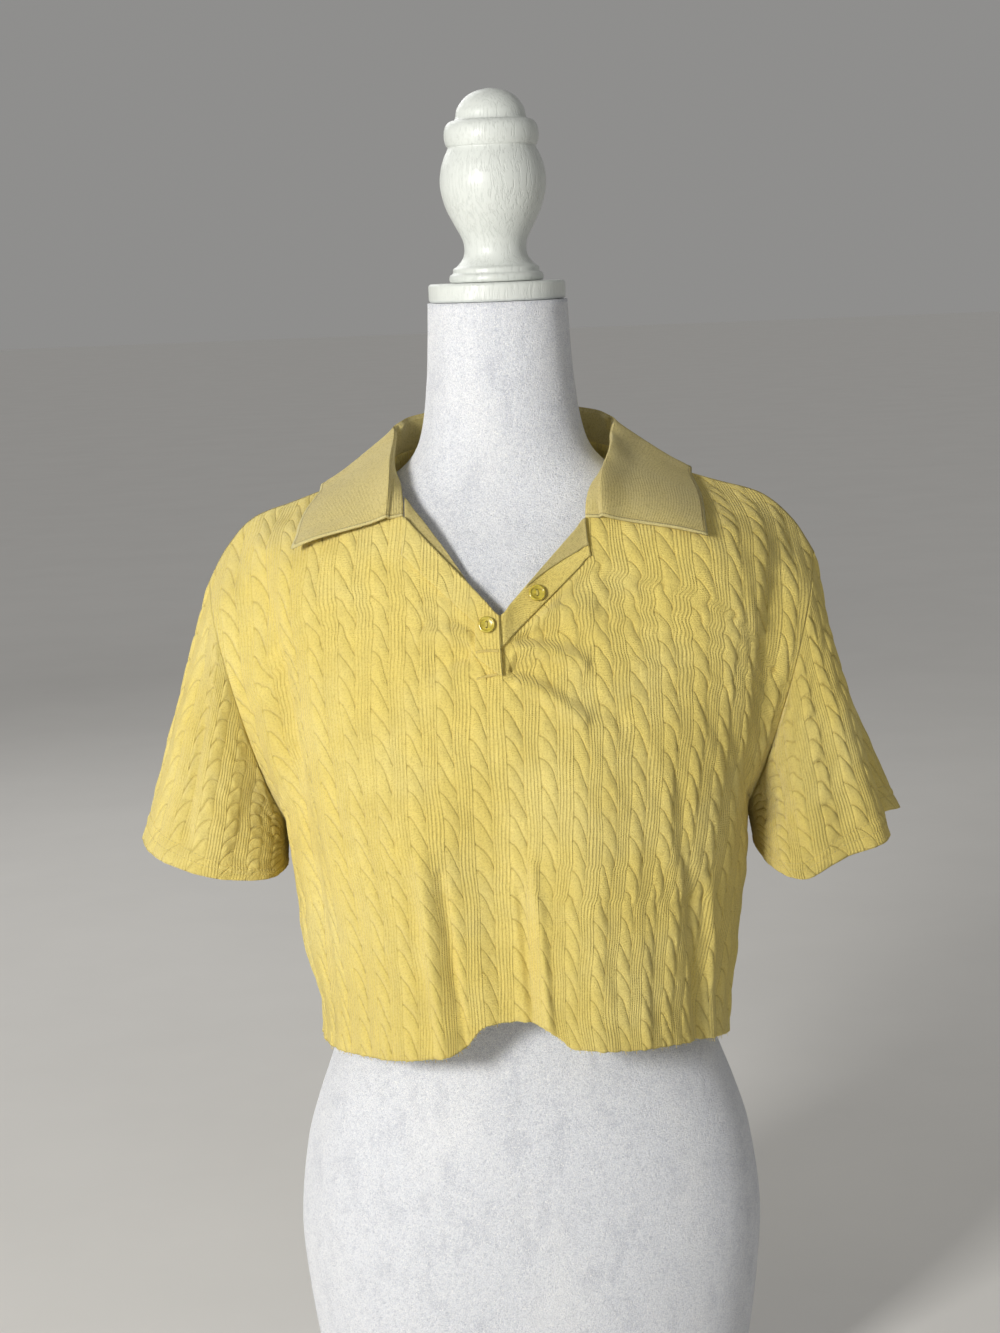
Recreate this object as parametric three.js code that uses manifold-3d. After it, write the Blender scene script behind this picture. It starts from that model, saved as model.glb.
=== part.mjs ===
// A short-sleeved cable-knit polo crop top on a limbless dress form with a turned neck finial.
// Millimetres. +Z is up, the front faces -Y, +X is on the right of someone who looks at the front.
// Z = 0 is the flat underside of the form. "Left" and "right" are as seen from the front.
import * as THREE from 'three';
import { mergeVertices } from 'three/addons/utils/BufferGeometryUtils.js';
import Module from 'manifold-3d';

const wasm = await Module();
wasm.setup();

// Cloth
const WALL = 1.7;
const CABLE_RISE = 1.0;
const CROSSING_SHARE = 0.35;
const SEAM_GAP = 0.3;
const FORM_CLEARANCE = 2.3;
const CLEARING_PASSES = 4;
const THINNEST_WALL = 1.1;

// Each panel is a net of columns, which follow the wales, and rows, which follow the courses.
const HALF_COLUMNS = 22;
const COLUMN_WIDTH = 10.8;
const ROWS = 36;
const ROW_HEIGHT = 11.5;
const UNDERARM_ROW = 16;
const CORNER_ROW = 28;
const NECK_COLUMN = 8;
const SLEEVE_ROWS = 14;
const ARMHOLE_STEPS = ROWS - UNDERARM_ROW;
const LOOP_STEPS = 2 * ARMHOLE_STEPS;
// Under the arm the sleeve turns back down beside the body over this many steps of its loop.
const UNDERARM_TURN = 7;
const UNDERARM_APART = 2 * WALL + 5 * SEAM_GAP;

// Girth of the body cloth by height: half-widths to each side, and depths to the front and the back.
const SIDE_Y = 5;
const SQUARENESS = 0.84;
const GIRTH = [
  { z: 280, left: 147, right: 146, front: 124, back: 114 },
  { z: 330, left: 146, right: 149, front: 122, back: 114 },
  { z: 370, left: 156, right: 154, front: 121, back: 113 },
  { z: 420, left: 160, right: 162, front: 121, back: 111 },
  { z: 455, left: 162, right: 165, front: 122, back: 109 },
  { z: 500, left: 168, right: 170, front: 123, back: 107 },
  { z: 540, left: 172, right: 174, front: 121, back: 106 },
];
const UNDERARM_Z = 455;
const BUST_ROW_Z = 503;
const BUST_ROW_CROWN = 2.4;
// The row of the lower body that the upper body's curves start from.
const LOWER_KNOT_ROW = UNDERARM_ROW - 6;

// Height of the cut hem round the front and the back, from the left side seam (-1) to the right (1).
const FRONT_HEM = [
  { at: -1, z: 300 },
  { at: -0.6, z: 307 },
  { at: -0.2, z: 318 },
  { at: -0.15, z: 333 },
  { at: 0, z: 338 },
  { at: 0.08, z: 331 },
  { at: 0.13, z: 320 },
  { at: 0.55, z: 308 },
  { at: 1, z: 291 },
];
const BACK_HEM = [
  { at: -1, z: 300 },
  { at: -0.4, z: 309 },
  { at: 0.1, z: 303 },
  { at: 0.6, z: 308 },
  { at: 1, z: 291 },
];

// Neck, opened placket and shoulders.
const V_POINT = new THREE.Vector3(-7, -104, 617);
const THROAT = new THREE.Vector3(-7, -50, 705);
const SIDES = [
  {
    name: 'left',
    sign: -1,
    corner: new THREE.Vector3(-70, -70, 682),
    chest: new THREE.Vector3(-146, -66, 645),
    shoulder: [
      { x: -79, z: 714 },
      { x: -113, z: 701 },
      { x: -147, z: 689 },
      { x: -180, z: 677 },
      { x: -199, z: 657 },
      { x: -212, z: 634 },
    ],
  },
  {
    name: 'right',
    sign: 1,
    corner: new THREE.Vector3(54, -72, 677),
    chest: new THREE.Vector3(146, -68, 643),
    shoulder: [
      { x: 82, z: 714 },
      { x: 116, z: 703 },
      { x: 150, z: 692 },
      { x: 183, z: 681 },
      { x: 204, z: 662 },
      { x: 218, z: 639 },
    ],
  },
];
const SHOULDER_Y = 4;
const BACK_NECK = { y: 64, z: 724 };
const BLADE_LINE = [
  { x: 0, y: 101, z: 642 },
  { x: 82, y: 99, z: 638 },
  { x: 146, y: 87, z: 618 },
];
const ARMHOLE = [
  { row: 16, x: 163, front: 5, back: 5, z: 455 },
  { row: 18, x: 167, front: -13, back: 22, z: 466 },
  { row: 21, x: 178, front: -28, back: 36, z: 496 },
  { row: 25, x: 191, front: -36, back: 45, z: 541 },
  { row: 28, x: 199, front: -37, back: 46, z: 574 },
  { row: 32, x: 207, front: -26, back: 35, z: 610 },
  { row: 36, x: 212, front: 4, back: 4, z: 634 },
];
const RIGHT_ARMHOLE_SHIFT = { x: 5, z: 4 };
// The columns beside the armhole that follow its curve.
const ARMHOLE_PULL_COLUMNS = 8;
const CURVE_DIVISIONS = 120;

// Folds: a path over the net from one column and row to another, its half-width and its height in
// millimetres, negative for a valley. It keeps a share of that height at its two ends.
const FOLD_END_SHARE = 0.45;
const FOLD_END_PHASE = 0.15;
const FRONT_FOLDS = [
  { name: 'left armpit, upper', c0: -19, r0: 34, c1: -16.5, r1: 22, width: 17, height: -5 },
  { name: 'left armpit, lower', c0: -16.5, r0: 22, c1: -15, r1: 6, width: 20, height: -6 },
  { name: 'left side roll', c0: -19.5, r0: 26, c1: -18.5, r1: 12, width: 18, height: 3 },
  { name: 'right armhole', c0: 20, r0: 33, c1: 19.5, r1: 22, width: 15, height: -4 },
  { name: 'left hem lobe', c0: -8, r0: -1, c1: -7, r1: 12, width: 34, height: 6 },
  { name: 'centre recess', c0: -0.8, r0: -2, c1: -2, r1: 13, width: 24, height: -7 },
  { name: 'right hem lobe', c0: 5.5, r0: -2, c1: 4, r1: 16, width: 27, height: 7 },
  { name: 'right hem pleat', c0: 14, r0: -1, c1: 13, r1: 9, width: 21, height: -5 },
  { name: 'right side roll', c0: 18, r0: 0, c1: 18, r1: 12, width: 20, height: 3 },
  { name: 'drag to the right', c0: 1.5, r0: 26.5, c1: 8, r1: 27, width: 12, height: -2 },
  { name: 'low drag to the right', c0: 1, r0: 25, c1: 8, r1: 21, width: 12, height: -2.4 },
  { name: 'drag to the left', c0: -2, r0: 24.5, c1: -6, r1: 23, width: 12, height: -1.8 },
];
const BACK_FOLDS = [
  { name: 'left armpit', c0: -19, r0: 33, c1: -15, r1: 12, width: 20, height: -5 },
  { name: 'right armpit', c0: 19, r0: 33, c1: 15.5, r1: 14, width: 20, height: -5 },
  { name: 'left hem lobe', c0: -10, r0: -1, c1: -9, r1: 14, width: 30, height: 7 },
  { name: 'centre recess', c0: -2, r0: -2, c1: 0, r1: 17, width: 27, height: -6 },
  { name: 'right hem lobe', c0: 7, r0: -2, c1: 6, r1: 13, width: 28, height: 6 },
  { name: 'right hem pleat', c0: 14, r0: -1, c1: 13, r1: 10, width: 22, height: -5 },
];
const SIDE_SEAM_CALM = 3;

// Cuffs, as loops from the underarm (0) over the front (10) to the top (20) and the back (30).
const CUFFS = {
  left: [
    { step: 0, x: -170, y: 6, z: 425 },
    { step: 4, x: -180, y: -32, z: 424 },
    { step: 9, x: -212, y: -49, z: 429 },
    { step: 15, x: -252, y: -36, z: 440 },
    { step: 20, x: -270, y: 2, z: 448 },
    { step: 25, x: -259, y: 38, z: 450 },
    { step: 31, x: -218, y: 53, z: 441 },
    { step: 36, x: -182, y: 38, z: 428 },
  ],
  right: [
    { step: 0, x: 174, y: 6, z: 429 },
    { step: 4, x: 183, y: -36, z: 419 },
    { step: 8, x: 203, y: -52, z: 413 },
    { step: 12, x: 232, y: -36, z: 424 },
    { step: 16, x: 262, y: -24, z: 431 },
    { step: 19, x: 268, y: 2, z: 436 },
    { step: 22, x: 272, y: 28, z: 441 },
    { step: 25, x: 285, y: 50, z: 438 },
    { step: 29, x: 252, y: 62, z: 431 },
    { step: 35, x: 192, y: 44, z: 428 },
  ],
};
const SLEEVE_FOLDS = {
  left: [
    { name: 'outer crease', c0: 16, r0: 0, c1: 13.5, r1: 12, width: 15, height: -4 },
    { name: 'inner crease', c0: 5, r0: 4, c1: 8, r1: 15, width: 15, height: -3 },
    { name: 'back crease', c0: 27, r0: 1, c1: 29, r1: 15, width: 18, height: -4 },
  ],
  right: [
    { name: 'outer valley', c0: 20, r0: 1, c1: 21, r1: 15, width: 15, height: -6 },
    { name: 'inner crease', c0: 3, r0: 3, c1: 9.5, r1: 15, width: 15, height: -4 },
    { name: 'back crease', c0: 32, r0: 1, c1: 31, r1: 15, width: 18, height: -3 },
  ],
};
const SLEEVE_STEP_WIDTH = 9.5;
const SLEEVE_ROW_HEIGHT = 13;
const CUFF_HEM_RISE = 0.4;
// Near the armhole the sleeve's folds grow from nothing over this share of its length, and near the
// underarm over this many steps; beside the underarm seam its cloth is plain.
const SLEEVE_CALM_SHARE = 1 / 3;
const SLEEVE_CALM_STEPS = 6;
const SLEEVE_PLAIN_STEPS = 2;

// Collar and placket
const COLLAR_THICKNESS = 1.6;
const COLLAR_LIFT = 1.7;
const CORNER_INSET = 0.1;
// By steps from the front corner: height of the roll over the cloth, how far it leans out, and how
// many columns out and rows up the outer edge of the fall lies.
const COLLAR_FALL = [
  { step: 0, stand: 8, lean: 9, reach: 6.2, slip: 1 },
  { step: 4, stand: 13, lean: 4, reach: 5.6, slip: 0.6 },
  { step: 8, stand: 23, lean: -5, reach: 4.3, slip: 0 },
  { step: 12, stand: 25, lean: -4, reach: 3, slip: 0 },
  { step: 16, stand: 25, lean: -4, reach: 2.4, slip: 0 },
];
// From this step on the fall turns from beside the neck to down the back, over this many steps.
const BACK_TURN_STEP = 8;
const BACK_TURN_LENGTH = 4;
const BACK_TURN_HASTE = 1.3;
// From this step on the stand turns from along the cloth's normal to upright, over this many steps.
const UPRIGHT_STEP = 2;
const UPRIGHT_LENGTH = 6;
// The share of the fall that its direction is taken over, and how fast the fall comes down to the cloth.
const DIRECTION_SHARE = 0.4;
const FALL_POWER = 1.3;
const DRIFT_POWER = 5;
const LOWEST_ROLL = 0.6;
const STAND_STEPS = 2;
const ROLL_STEPS = 3;
const FALL_STEPS = 4;
const ROLL_RADIUS = 3.2;
const BAND_THICKNESS = 1.2;
const BAND_ROWS = 2;
const BAND_COLUMNS = 2;
const PLACKET_END_ROW = 24;
// The over band climbs on to the under band over this many columns.
const BAND_CLIMB_COLUMNS = 2;

// Buttons
const BUTTON_RADIUS = 5.7;
const BUTTON_THICKNESS = 2.6;
const BUTTON_DISH = 0.8;
const BUTTON_HOLE_RADIUS = 0.8;
const BUTTON_HOLE_OFFSET = 1.7;
const BUTTON_SEGMENTS = 20;
const BUTTON_HOLE_SEGMENTS = 8;
const BUTTONS = {
  lower: { column: -1, row: 26.6, lifted: true },
  upper: { column: 3.3, row: 26.9, lifted: false },
};

// Dress form: half-width and depths to the front and the back, by height.
const FORM_SEGMENTS = 32;
const FORM_POWER = 2.2;
const NECK_TOP = 825;
const FORM = [
  { z: 0, half: 140, front: 84, back: 92 },
  { z: 3, half: 147, front: 90, back: 98 },
  { z: 10, half: 151, front: 93, back: 102 },
  { z: 58, half: 160, front: 97, back: 108 },
  { z: 110, half: 167, front: 100, back: 113 },
  { z: 160, half: 170, front: 100, back: 115 },
  { z: 218, half: 163, front: 96, back: 110 },
  { z: 249, half: 154, front: 91, back: 103 },
  { z: 279, half: 143, front: 86, back: 94 },
  { z: 310, half: 132, front: 82, back: 85 },
  { z: 350, half: 123, front: 80, back: 78 },
  { z: 400, half: 127, front: 88, back: 78 },
  { z: 455, half: 139, front: 106, back: 84 },
  { z: 510, half: 149, front: 117, back: 92 },
  { z: 560, half: 151, front: 112, back: 96 },
  { z: 600, half: 158, front: 101, back: 97 },
  { z: 635, half: 170, front: 87, back: 90 },
  { z: 655, half: 174, front: 75, back: 75 },
  { z: 668, half: 165, front: 65, back: 62 },
  { z: 680, half: 143, front: 57, back: 54 },
  { z: 692, half: 110, front: 51, back: 49 },
  { z: 704, half: 82, front: 48, back: 48 },
  { z: 718, half: 65, front: 48, back: 49 },
  { z: 736, half: 57, front: 49, back: 50 },
  { z: 770, half: 52, front: 50, back: 50 },
  { z: 800, half: 50, front: 49, back: 49 },
  { z: NECK_TOP, half: 49, front: 49, back: 49 },
];

// Neck cap and finial, as radii by height above the cap.
const CAP_RADIUS = 48;
const CAP_THICKNESS = 13;
const CAP_EDGE = 1.8;
const TURNED_SEGMENTS = 24;
const FINIAL = [
  { z: 0, r: 32.5 },
  { z: 2.5, r: 33 },
  { z: 5, r: 32.4 },
  { z: 6.5, r: 30.4 },
  { z: 9.4, r: 30 },
  { z: 11.5, r: 27 },
  { z: 17, r: 22.8 },
  { z: 23, r: 21.7 },
  { z: 30, r: 23 },
  { z: 40, r: 28.2 },
  { z: 52, r: 33.8 },
  { z: 66, r: 37 },
  { z: 78, r: 36 },
  { z: 86, r: 33.4 },
  { z: 92.2, r: 30.6 },
  { z: 93.5, r: 31.6 },
  { z: 97, r: 32.7 },
  { z: 102, r: 32.9 },
  { z: 107, r: 31.6 },
  { z: 110, r: 28.6 },
  { z: 111, r: 25.2 },
  { z: 118, r: 23.4 },
  { z: 125, r: 18.6 },
  { z: 129.5, r: 12 },
];
const FINIAL_HEIGHT = 132;

const COLOURS = {
  cloth: { color: 0xeedb7e, roughness: 0.92, metalness: 0 },
  collar: { color: 0xcfbd7c, roughness: 0.95, metalness: 0 },
  button: { color: 0xbeab3c, roughness: 0.3, metalness: 0 },
  velvet: { color: 0xe3e4ec, roughness: 0.8, metalness: 0 },
  paintedWood: { color: 0xd8dcd6, roughness: 0.5, metalness: 0 },
};

const clamp = (value, low, high) => Math.min(high, Math.max(low, value));
const smoothStep = (t) => clamp(t, 0, 1) ** 2 * (3 - 2 * clamp(t, 0, 1));

// Smooth reading of one named column of a table whose rows are ordered by their key column.
function read(table, key, column, at) {
  const last = table.length - 1;
  const position = clamp(at, table[0][key], table[last][key]);
  let k = 0;
  while (k < last - 1 && position > table[k + 1][key]) k += 1;
  const slope = (n) => {
    const a = table[Math.max(0, n - 1)];
    const b = table[Math.min(last, n + 1)];
    return (b[column] - a[column]) / (b[key] - a[key]);
  };
  const span = table[k + 1][key] - table[k][key];
  const t = (position - table[k][key]) / span;
  const t2 = t * t;
  const t3 = t2 * t;
  return (
    table[k][column] * (2 * t3 - 3 * t2 + 1) +
    slope(k) * span * (t3 - 2 * t2 + t) +
    table[k + 1][column] * (3 * t2 - 2 * t3) +
    slope(k + 1) * span * (t3 - t2)
  );
}

// Smooth reading of a point from rows that each hold a key and a Vector3.
function readPoint(knots, at) {
  const rows = knots.map((knot) => ({ key: knot.key, x: knot.p.x, y: knot.p.y, z: knot.p.z }));
  return new THREE.Vector3(
    read(rows, 'key', 'x', at),
    read(rows, 'key', 'y', at),
    read(rows, 'key', 'z', at),
  );
}

// The point at a share of the length of a smooth curve.
function alongCurve(curve, share) {
  curve.arcLengthDivisions = CURVE_DIVISIONS;
  return curve.getPointAt(clamp(share, 0, 1));
}

// A quarter of the body's girth at a height, from the centre (0) to the side seam (1).
function girthPoint(sign, facing, share, z) {
  const half = read(GIRTH, 'z', sign < 0 ? 'left' : 'right', z);
  const depth = facing < 0 ? -read(GIRTH, 'z', 'front', z) : read(GIRTH, 'z', 'back', z);
  const samples = 40;
  const points = [];
  for (let k = 0; k <= samples; k += 1) {
    const angle = (k / samples) * (Math.PI / 2);
    const x = sign * half * Math.sin(angle) ** SQUARENESS;
    const y = SIDE_Y + (depth - SIDE_Y) * Math.cos(angle) ** SQUARENESS;
    points.push(new THREE.Vector2(x, k === samples ? SIDE_Y : y));
  }
  const lengths = [0];
  for (let k = 1; k <= samples; k += 1) {
    lengths.push(lengths[k - 1] + points[k].distanceTo(points[k - 1]));
  }
  const wanted = share * lengths[samples];
  let k = 1;
  while (k < samples && lengths[k] < wanted) k += 1;
  const t = (wanted - lengths[k - 1]) / (lengths[k] - lengths[k - 1]);
  const flat = points[k - 1].clone().lerp(points[k], t);
  return new THREE.Vector3(flat.x, flat.y, z);
}

// The lower body, from the cut hem to the underarm.
function lowerBody(facing, column, row) {
  const across = column / HALF_COLUMNS;
  const sign = column < 0 ? -1 : 1;
  const hem = read(facing < 0 ? FRONT_HEM : BACK_HEM, 'at', 'z', across);
  const top = UNDERARM_Z + (BUST_ROW_Z - UNDERARM_Z) * (1 - Math.abs(across) ** BUST_ROW_CROWN);
  const z = hem + ((top - hem) * row) / UNDERARM_ROW;
  const point = girthPoint(sign, facing, Math.abs(across), z);
  if (facing < 0) point.x += V_POINT.x * smoothStep(row / CORNER_ROW) * (1 - Math.abs(across)) ** 2;
  return point;
}

const shoulderEnd = (side) => side.shoulder[side.shoulder.length - 1];
const neckPoint = (side) => new THREE.Vector3(side.shoulder[0].x, SHOULDER_Y, side.shoulder[0].z);

function armholePoint(side, facing, row) {
  const shift = side.sign > 0 ? RIGHT_ARMHOLE_SHIFT : { x: 0, z: 0 };
  const grown = smoothStep((row - UNDERARM_ROW) / ARMHOLE_STEPS);
  if (row === UNDERARM_ROW) return girthPoint(side.sign, facing, 1, UNDERARM_Z);
  if (row === ROWS) return new THREE.Vector3(shoulderEnd(side).x, SHOULDER_Y, shoulderEnd(side).z);
  return new THREE.Vector3(
    side.sign * (read(ARMHOLE, 'row', 'x', row) + shift.x * grown),
    read(ARMHOLE, 'row', facing < 0 ? 'front' : 'back', row),
    read(ARMHOLE, 'row', 'z', row) + shift.z * grown,
  );
}

// The shoulder seam, from the neck point to the dropped shoulder end.
function shoulderSeam(side, share) {
  const points = side.shoulder.map((p) => new THREE.Vector3(p.x, SHOULDER_Y, p.z));
  return alongCurve(new THREE.CatmullRomCurve3(points, false, 'centripetal'), share);
}

// Beyond the neck column a row runs on to the armhole: its share of that way.
const outerShare = (column) => (Math.abs(column) - NECK_COLUMN) / (HALF_COLUMNS - NECK_COLUMN);

// The row at the height of the neck corner: the V edge, then the chest out to the armhole.
function cornerRow(facing, side, column) {
  const end = armholePoint(side, facing, CORNER_ROW);
  if (facing > 0) {
    const points = BLADE_LINE.map((p) => new THREE.Vector3(side.sign * p.x, p.y, p.z));
    const curve = new THREE.CatmullRomCurve3([...points, end], false, 'centripetal');
    return alongCurve(curve, Math.abs(column) / HALF_COLUMNS);
  }
  if (Math.abs(column) <= NECK_COLUMN) {
    return V_POINT.clone().lerp(side.corner, Math.abs(column) / NECK_COLUMN);
  }
  const curve = new THREE.CatmullRomCurve3([side.corner, side.chest, end], false, 'centripetal');
  return alongCurve(curve, outerShare(column));
}

// The top row: the throat or the back neckline, then the shoulder seam.
function topRow(facing, side, column) {
  if (Math.abs(column) > NECK_COLUMN) return shoulderSeam(side, outerShare(column));
  const neck = neckPoint(side);
  const share = Math.abs(column) / NECK_COLUMN;
  if (facing < 0) return THROAT.clone().lerp(neck, share);
  const angle = (share * Math.PI) / 2;
  return new THREE.Vector3(
    neck.x * Math.sin(angle),
    SHOULDER_Y + (BACK_NECK.y - SHOULDER_Y) * Math.cos(angle),
    neck.z + (BACK_NECK.z - neck.z) * Math.cos(angle),
  );
}

// The smooth body surface before its folds.
function bodySurface(facing, column, row) {
  if (row <= UNDERARM_ROW) return lowerBody(facing, column, row);
  const side = column < 0 ? SIDES[0] : SIDES[1];
  const knots = [
    { key: LOWER_KNOT_ROW, p: lowerBody(facing, column, LOWER_KNOT_ROW) },
    { key: UNDERARM_ROW, p: lowerBody(facing, column, UNDERARM_ROW) },
    { key: CORNER_ROW, p: cornerRow(facing, side, column) },
    { key: ROWS, p: topRow(facing, side, column) },
  ];
  const point = readPoint(knots, row);
  const fromPull = Math.abs(column) - HALF_COLUMNS + ARMHOLE_PULL_COLUMNS;
  const pull = smoothStep(fromPull / ARMHOLE_PULL_COLUMNS);
  if (pull > 0) {
    const edgeKnots = [
      { key: LOWER_KNOT_ROW, p: lowerBody(facing, side.sign * HALF_COLUMNS, LOWER_KNOT_ROW) },
      { key: UNDERARM_ROW, p: lowerBody(facing, side.sign * HALF_COLUMNS, UNDERARM_ROW) },
      { key: CORNER_ROW, p: armholePoint(side, facing, CORNER_ROW) },
      { key: ROWS, p: armholePoint(side, facing, ROWS) },
    ];
    const drift = armholePoint(side, facing, row).sub(readPoint(edgeKnots, row));
    point.addScaledVector(drift, pull);
  }
  return point;
}

// Height of the folds at a place on a net, from their paths.
function foldHeight(folds, column, row, stepWidth, stepHeight) {
  let height = 0;
  for (const fold of folds) {
    const ax = fold.c0 * stepWidth;
    const ay = fold.r0 * stepHeight;
    const dx = fold.c1 * stepWidth - ax;
    const dy = fold.r1 * stepHeight - ay;
    const px = column * stepWidth - ax;
    const py = row * stepHeight - ay;
    const along = clamp((px * dx + py * dy) / (dx * dx + dy * dy), 0, 1);
    const away = Math.hypot(px - along * dx, py - along * dy);
    const phase = FOLD_END_PHASE + along * (1 - 2 * FOLD_END_PHASE);
    const fade = FOLD_END_SHARE + (1 - FOLD_END_SHARE) * Math.sin(Math.PI * phase);
    height += fold.height * fade * Math.exp(-((away / fold.width) ** 2));
  }
  return height;
}

// How far a point is outside the form, in shares of the form's size at that height.
function formLevel(x, y, z) {
  const half = read(FORM, 'z', 'half', z);
  const depth = read(FORM, 'z', y < 0 ? 'front' : 'back', z);
  const sum = (Math.abs(x) / half) ** FORM_POWER + (Math.abs(y) / depth) ** FORM_POWER;
  return sum ** (1 / FORM_POWER) - 1;
}

// Moves a point out along the form's surface normal until it is clear of the form.
function clearOfForm(point, clearance) {
  const step = 0.5;
  for (let pass = 0; pass < CLEARING_PASSES; pass += 1) {
    const level = formLevel(point.x, point.y, point.z);
    const slope = new THREE.Vector3(
      formLevel(point.x + step, point.y, point.z) - formLevel(point.x - step, point.y, point.z),
      formLevel(point.x, point.y + step, point.z) - formLevel(point.x, point.y - step, point.z),
      formLevel(point.x, point.y, point.z + step) - formLevel(point.x, point.y, point.z - step),
    ).divideScalar(2 * step);
    const distance = level / slope.length();
    if (distance < clearance) point.addScaledVector(slope.normalize(), clearance - distance);
  }
  return point;
}

// A net of points with its normals. A wrapped net closes on itself across its columns.
class Net {
  constructor({ first, last, rows, wrapped = false, facing = -1, has = () => true }) {
    Object.assign(this, { first, last, rows, wrapped, facing, has });
    this.points = new Map();
    this.normals = new Map();
  }

  column(i) {
    const count = this.last - this.first;
    return this.wrapped ? ((((i - this.first) % count) + count) % count) + this.first : i;
  }

  key(i, j) {
    return `${this.column(i)},${j}`;
  }

  point(i, j) {
    return this.points.get(this.key(i, j));
  }

  normal(i, j) {
    return this.normals.get(this.key(i, j));
  }

  nodes() {
    const list = [];
    const stop = this.wrapped ? this.last - 1 : this.last;
    for (let i = this.first; i <= stop; i += 1) {
      for (let j = 0; j <= this.rows; j += 1) list.push([i, j]);
    }
    return list;
  }

  fill(place) {
    for (const [i, j] of this.nodes()) this.points.set(this.key(i, j), place(i, j));
  }

  difference(i, j, di, dj) {
    const here = this.point(i, j);
    const ahead = this.point(i + di, j + dj) ?? here;
    const behind = this.point(i - di, j - dj) ?? here;
    return ahead.clone().sub(behind);
  }

  findNormals() {
    for (const [i, j] of this.nodes()) {
      const normal = this.difference(i, j, 1, 0).cross(this.difference(i, j, 0, 1)).normalize();
      this.normals.set(this.key(i, j), normal.multiplyScalar(-this.facing));
    }
  }

  move(height) {
    for (const [i, j] of this.nodes()) {
      this.point(i, j).addScaledVector(this.normal(i, j), height(i, j));
    }
  }

  // A point between the nodes, with its normal.
  between(column, row) {
    const i = Math.min(Math.floor(column), this.last - 1);
    const j = Math.min(Math.floor(row), this.rows - 1);
    const u = column - i;
    const v = row - j;
    const mix = (get) => {
      const low = get(i, j).clone().lerp(get(i + 1, j), u);
      const high = get(i, j + 1).clone().lerp(get(i + 1, j + 1), u);
      return low.lerp(high, v);
    };
    return {
      point: mix((a, b) => this.point(a, b)),
      normal: mix((a, b) => this.normal(a, b)).normalize(),
    };
  }
}

// How far the inner face drops at a coarse node, so that it stays under a hollow of the outer face.
function innerDrop(net, i, j) {
  let drop = 0;
  for (const [di, dj] of [[1, 0], [0, 1], [1, 1], [1, -1]]) {
    for (const way of [1, -1]) {
      const middle = net.point(i + di * way, j + dj * way);
      const far = net.point(i + 2 * di * way, j + 2 * dj * way);
      if (middle && far) {
        const chord = net.point(i, j).clone().add(far).multiplyScalar(0.5);
        const hollow = chord.sub(middle).dot(net.normal(i + di * way, j + dj * way));
        drop = Math.max(drop, hollow - (WALL - THINNEST_WALL));
      }
    }
  }
  return drop;
}

// A closed wall from a net: a fine outer face, an inner face of every "stride" nodes, and its rim.
function wallGeometry(net, outerPoint, innerPoint, stride) {
  const vertices = [];
  const triangles = [];
  const known = new Map();
  const vertex = (face, i, j) => {
    const name = `${face}${net.key(i, j)}`;
    if (!known.has(name)) {
      const p = face === 'o' ? outerPoint(i, j) : innerPoint(i, j);
      known.set(name, vertices.length / 3);
      vertices.push(p.x, p.y, p.z);
    }
    return known.get(name);
  };
  const triangle = (a, b, c) => {
    if (net.facing < 0) triangles.push(a, b, c);
    else triangles.push(a, c, b);
  };
  const square = (face, i, j, size) => {
    const a = vertex(face, i, j);
    const b = vertex(face, i + size, j);
    const c = vertex(face, i + size, j + size);
    const d = vertex(face, i, j + size);
    if (face === 'o') {
      triangle(a, b, c);
      triangle(a, c, d);
    } else {
      triangle(a, c, b);
      triangle(a, d, c);
    }
  };
  const rim = (i, j, di, dj) => {
    const innerStart = vertex('i', i, j);
    const innerEnd = vertex('i', i + stride * di, j + stride * dj);
    const end = vertex('o', i + stride * di, j + stride * dj);
    for (let n = 0; n < stride; n += 1) {
      const near = vertex('o', i + n * di, j + n * dj);
      const far = vertex('o', i + (n + 1) * di, j + (n + 1) * dj);
      if (n === stride - 1) triangle(near, innerStart, innerEnd);
      triangle(near, n === stride - 1 ? innerEnd : innerStart, n === stride - 1 ? end : far);
    }
  };
  const present = (i, j) => {
    const inside = net.wrapped || (i >= net.first && i < net.last);
    return inside && j >= 0 && j < net.rows && net.has(net.column(i), j);
  };
  for (let i = net.first; i < net.last; i += stride) {
    for (let j = 0; j < net.rows; j += stride) {
      if (!present(i, j)) continue;
      square('i', i, j, stride);
      for (let n = 0; n < stride * stride; n += 1) {
        square('o', i + (n % stride), j + Math.floor(n / stride), 1);
      }
      if (!present(i, j - stride)) rim(i, j, 1, 0);
      if (!present(i + stride, j)) rim(i + stride, j, 0, 1);
      if (!present(i, j + stride)) rim(i + stride, j + stride, -1, 0);
      if (!present(i - stride, j)) rim(i, j + stride, 0, -1);
    }
  }
  const geometry = new THREE.BufferGeometry();
  geometry.setAttribute('position', new THREE.Float32BufferAttribute(vertices, 3));
  geometry.setIndex(triangles);
  geometry.computeVertexNormals();
  return geometry;
}

// A cable stands on every odd column; its crossings lie between its cells.
function cableRise(column, row) {
  if (Math.abs(column) % 2 === 0) return 0;
  const cellRow = (row + (Math.abs(column) % 4 === 1 ? 0 : 1)) % 2;
  return CABLE_RISE * (cellRow === 1 ? 1 : CROSSING_SHARE);
}

// The cells of the front that the V opening leaves out.
const belowNeck = (column, row) => {
  const nearCentre = column >= -NECK_COLUMN && column < NECK_COLUMN;
  return !nearCentre || row < CORNER_ROW;
};

function foldCalm(column) {
  return smoothStep((HALF_COLUMNS - Math.abs(column)) / SIDE_SEAM_CALM);
}

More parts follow.
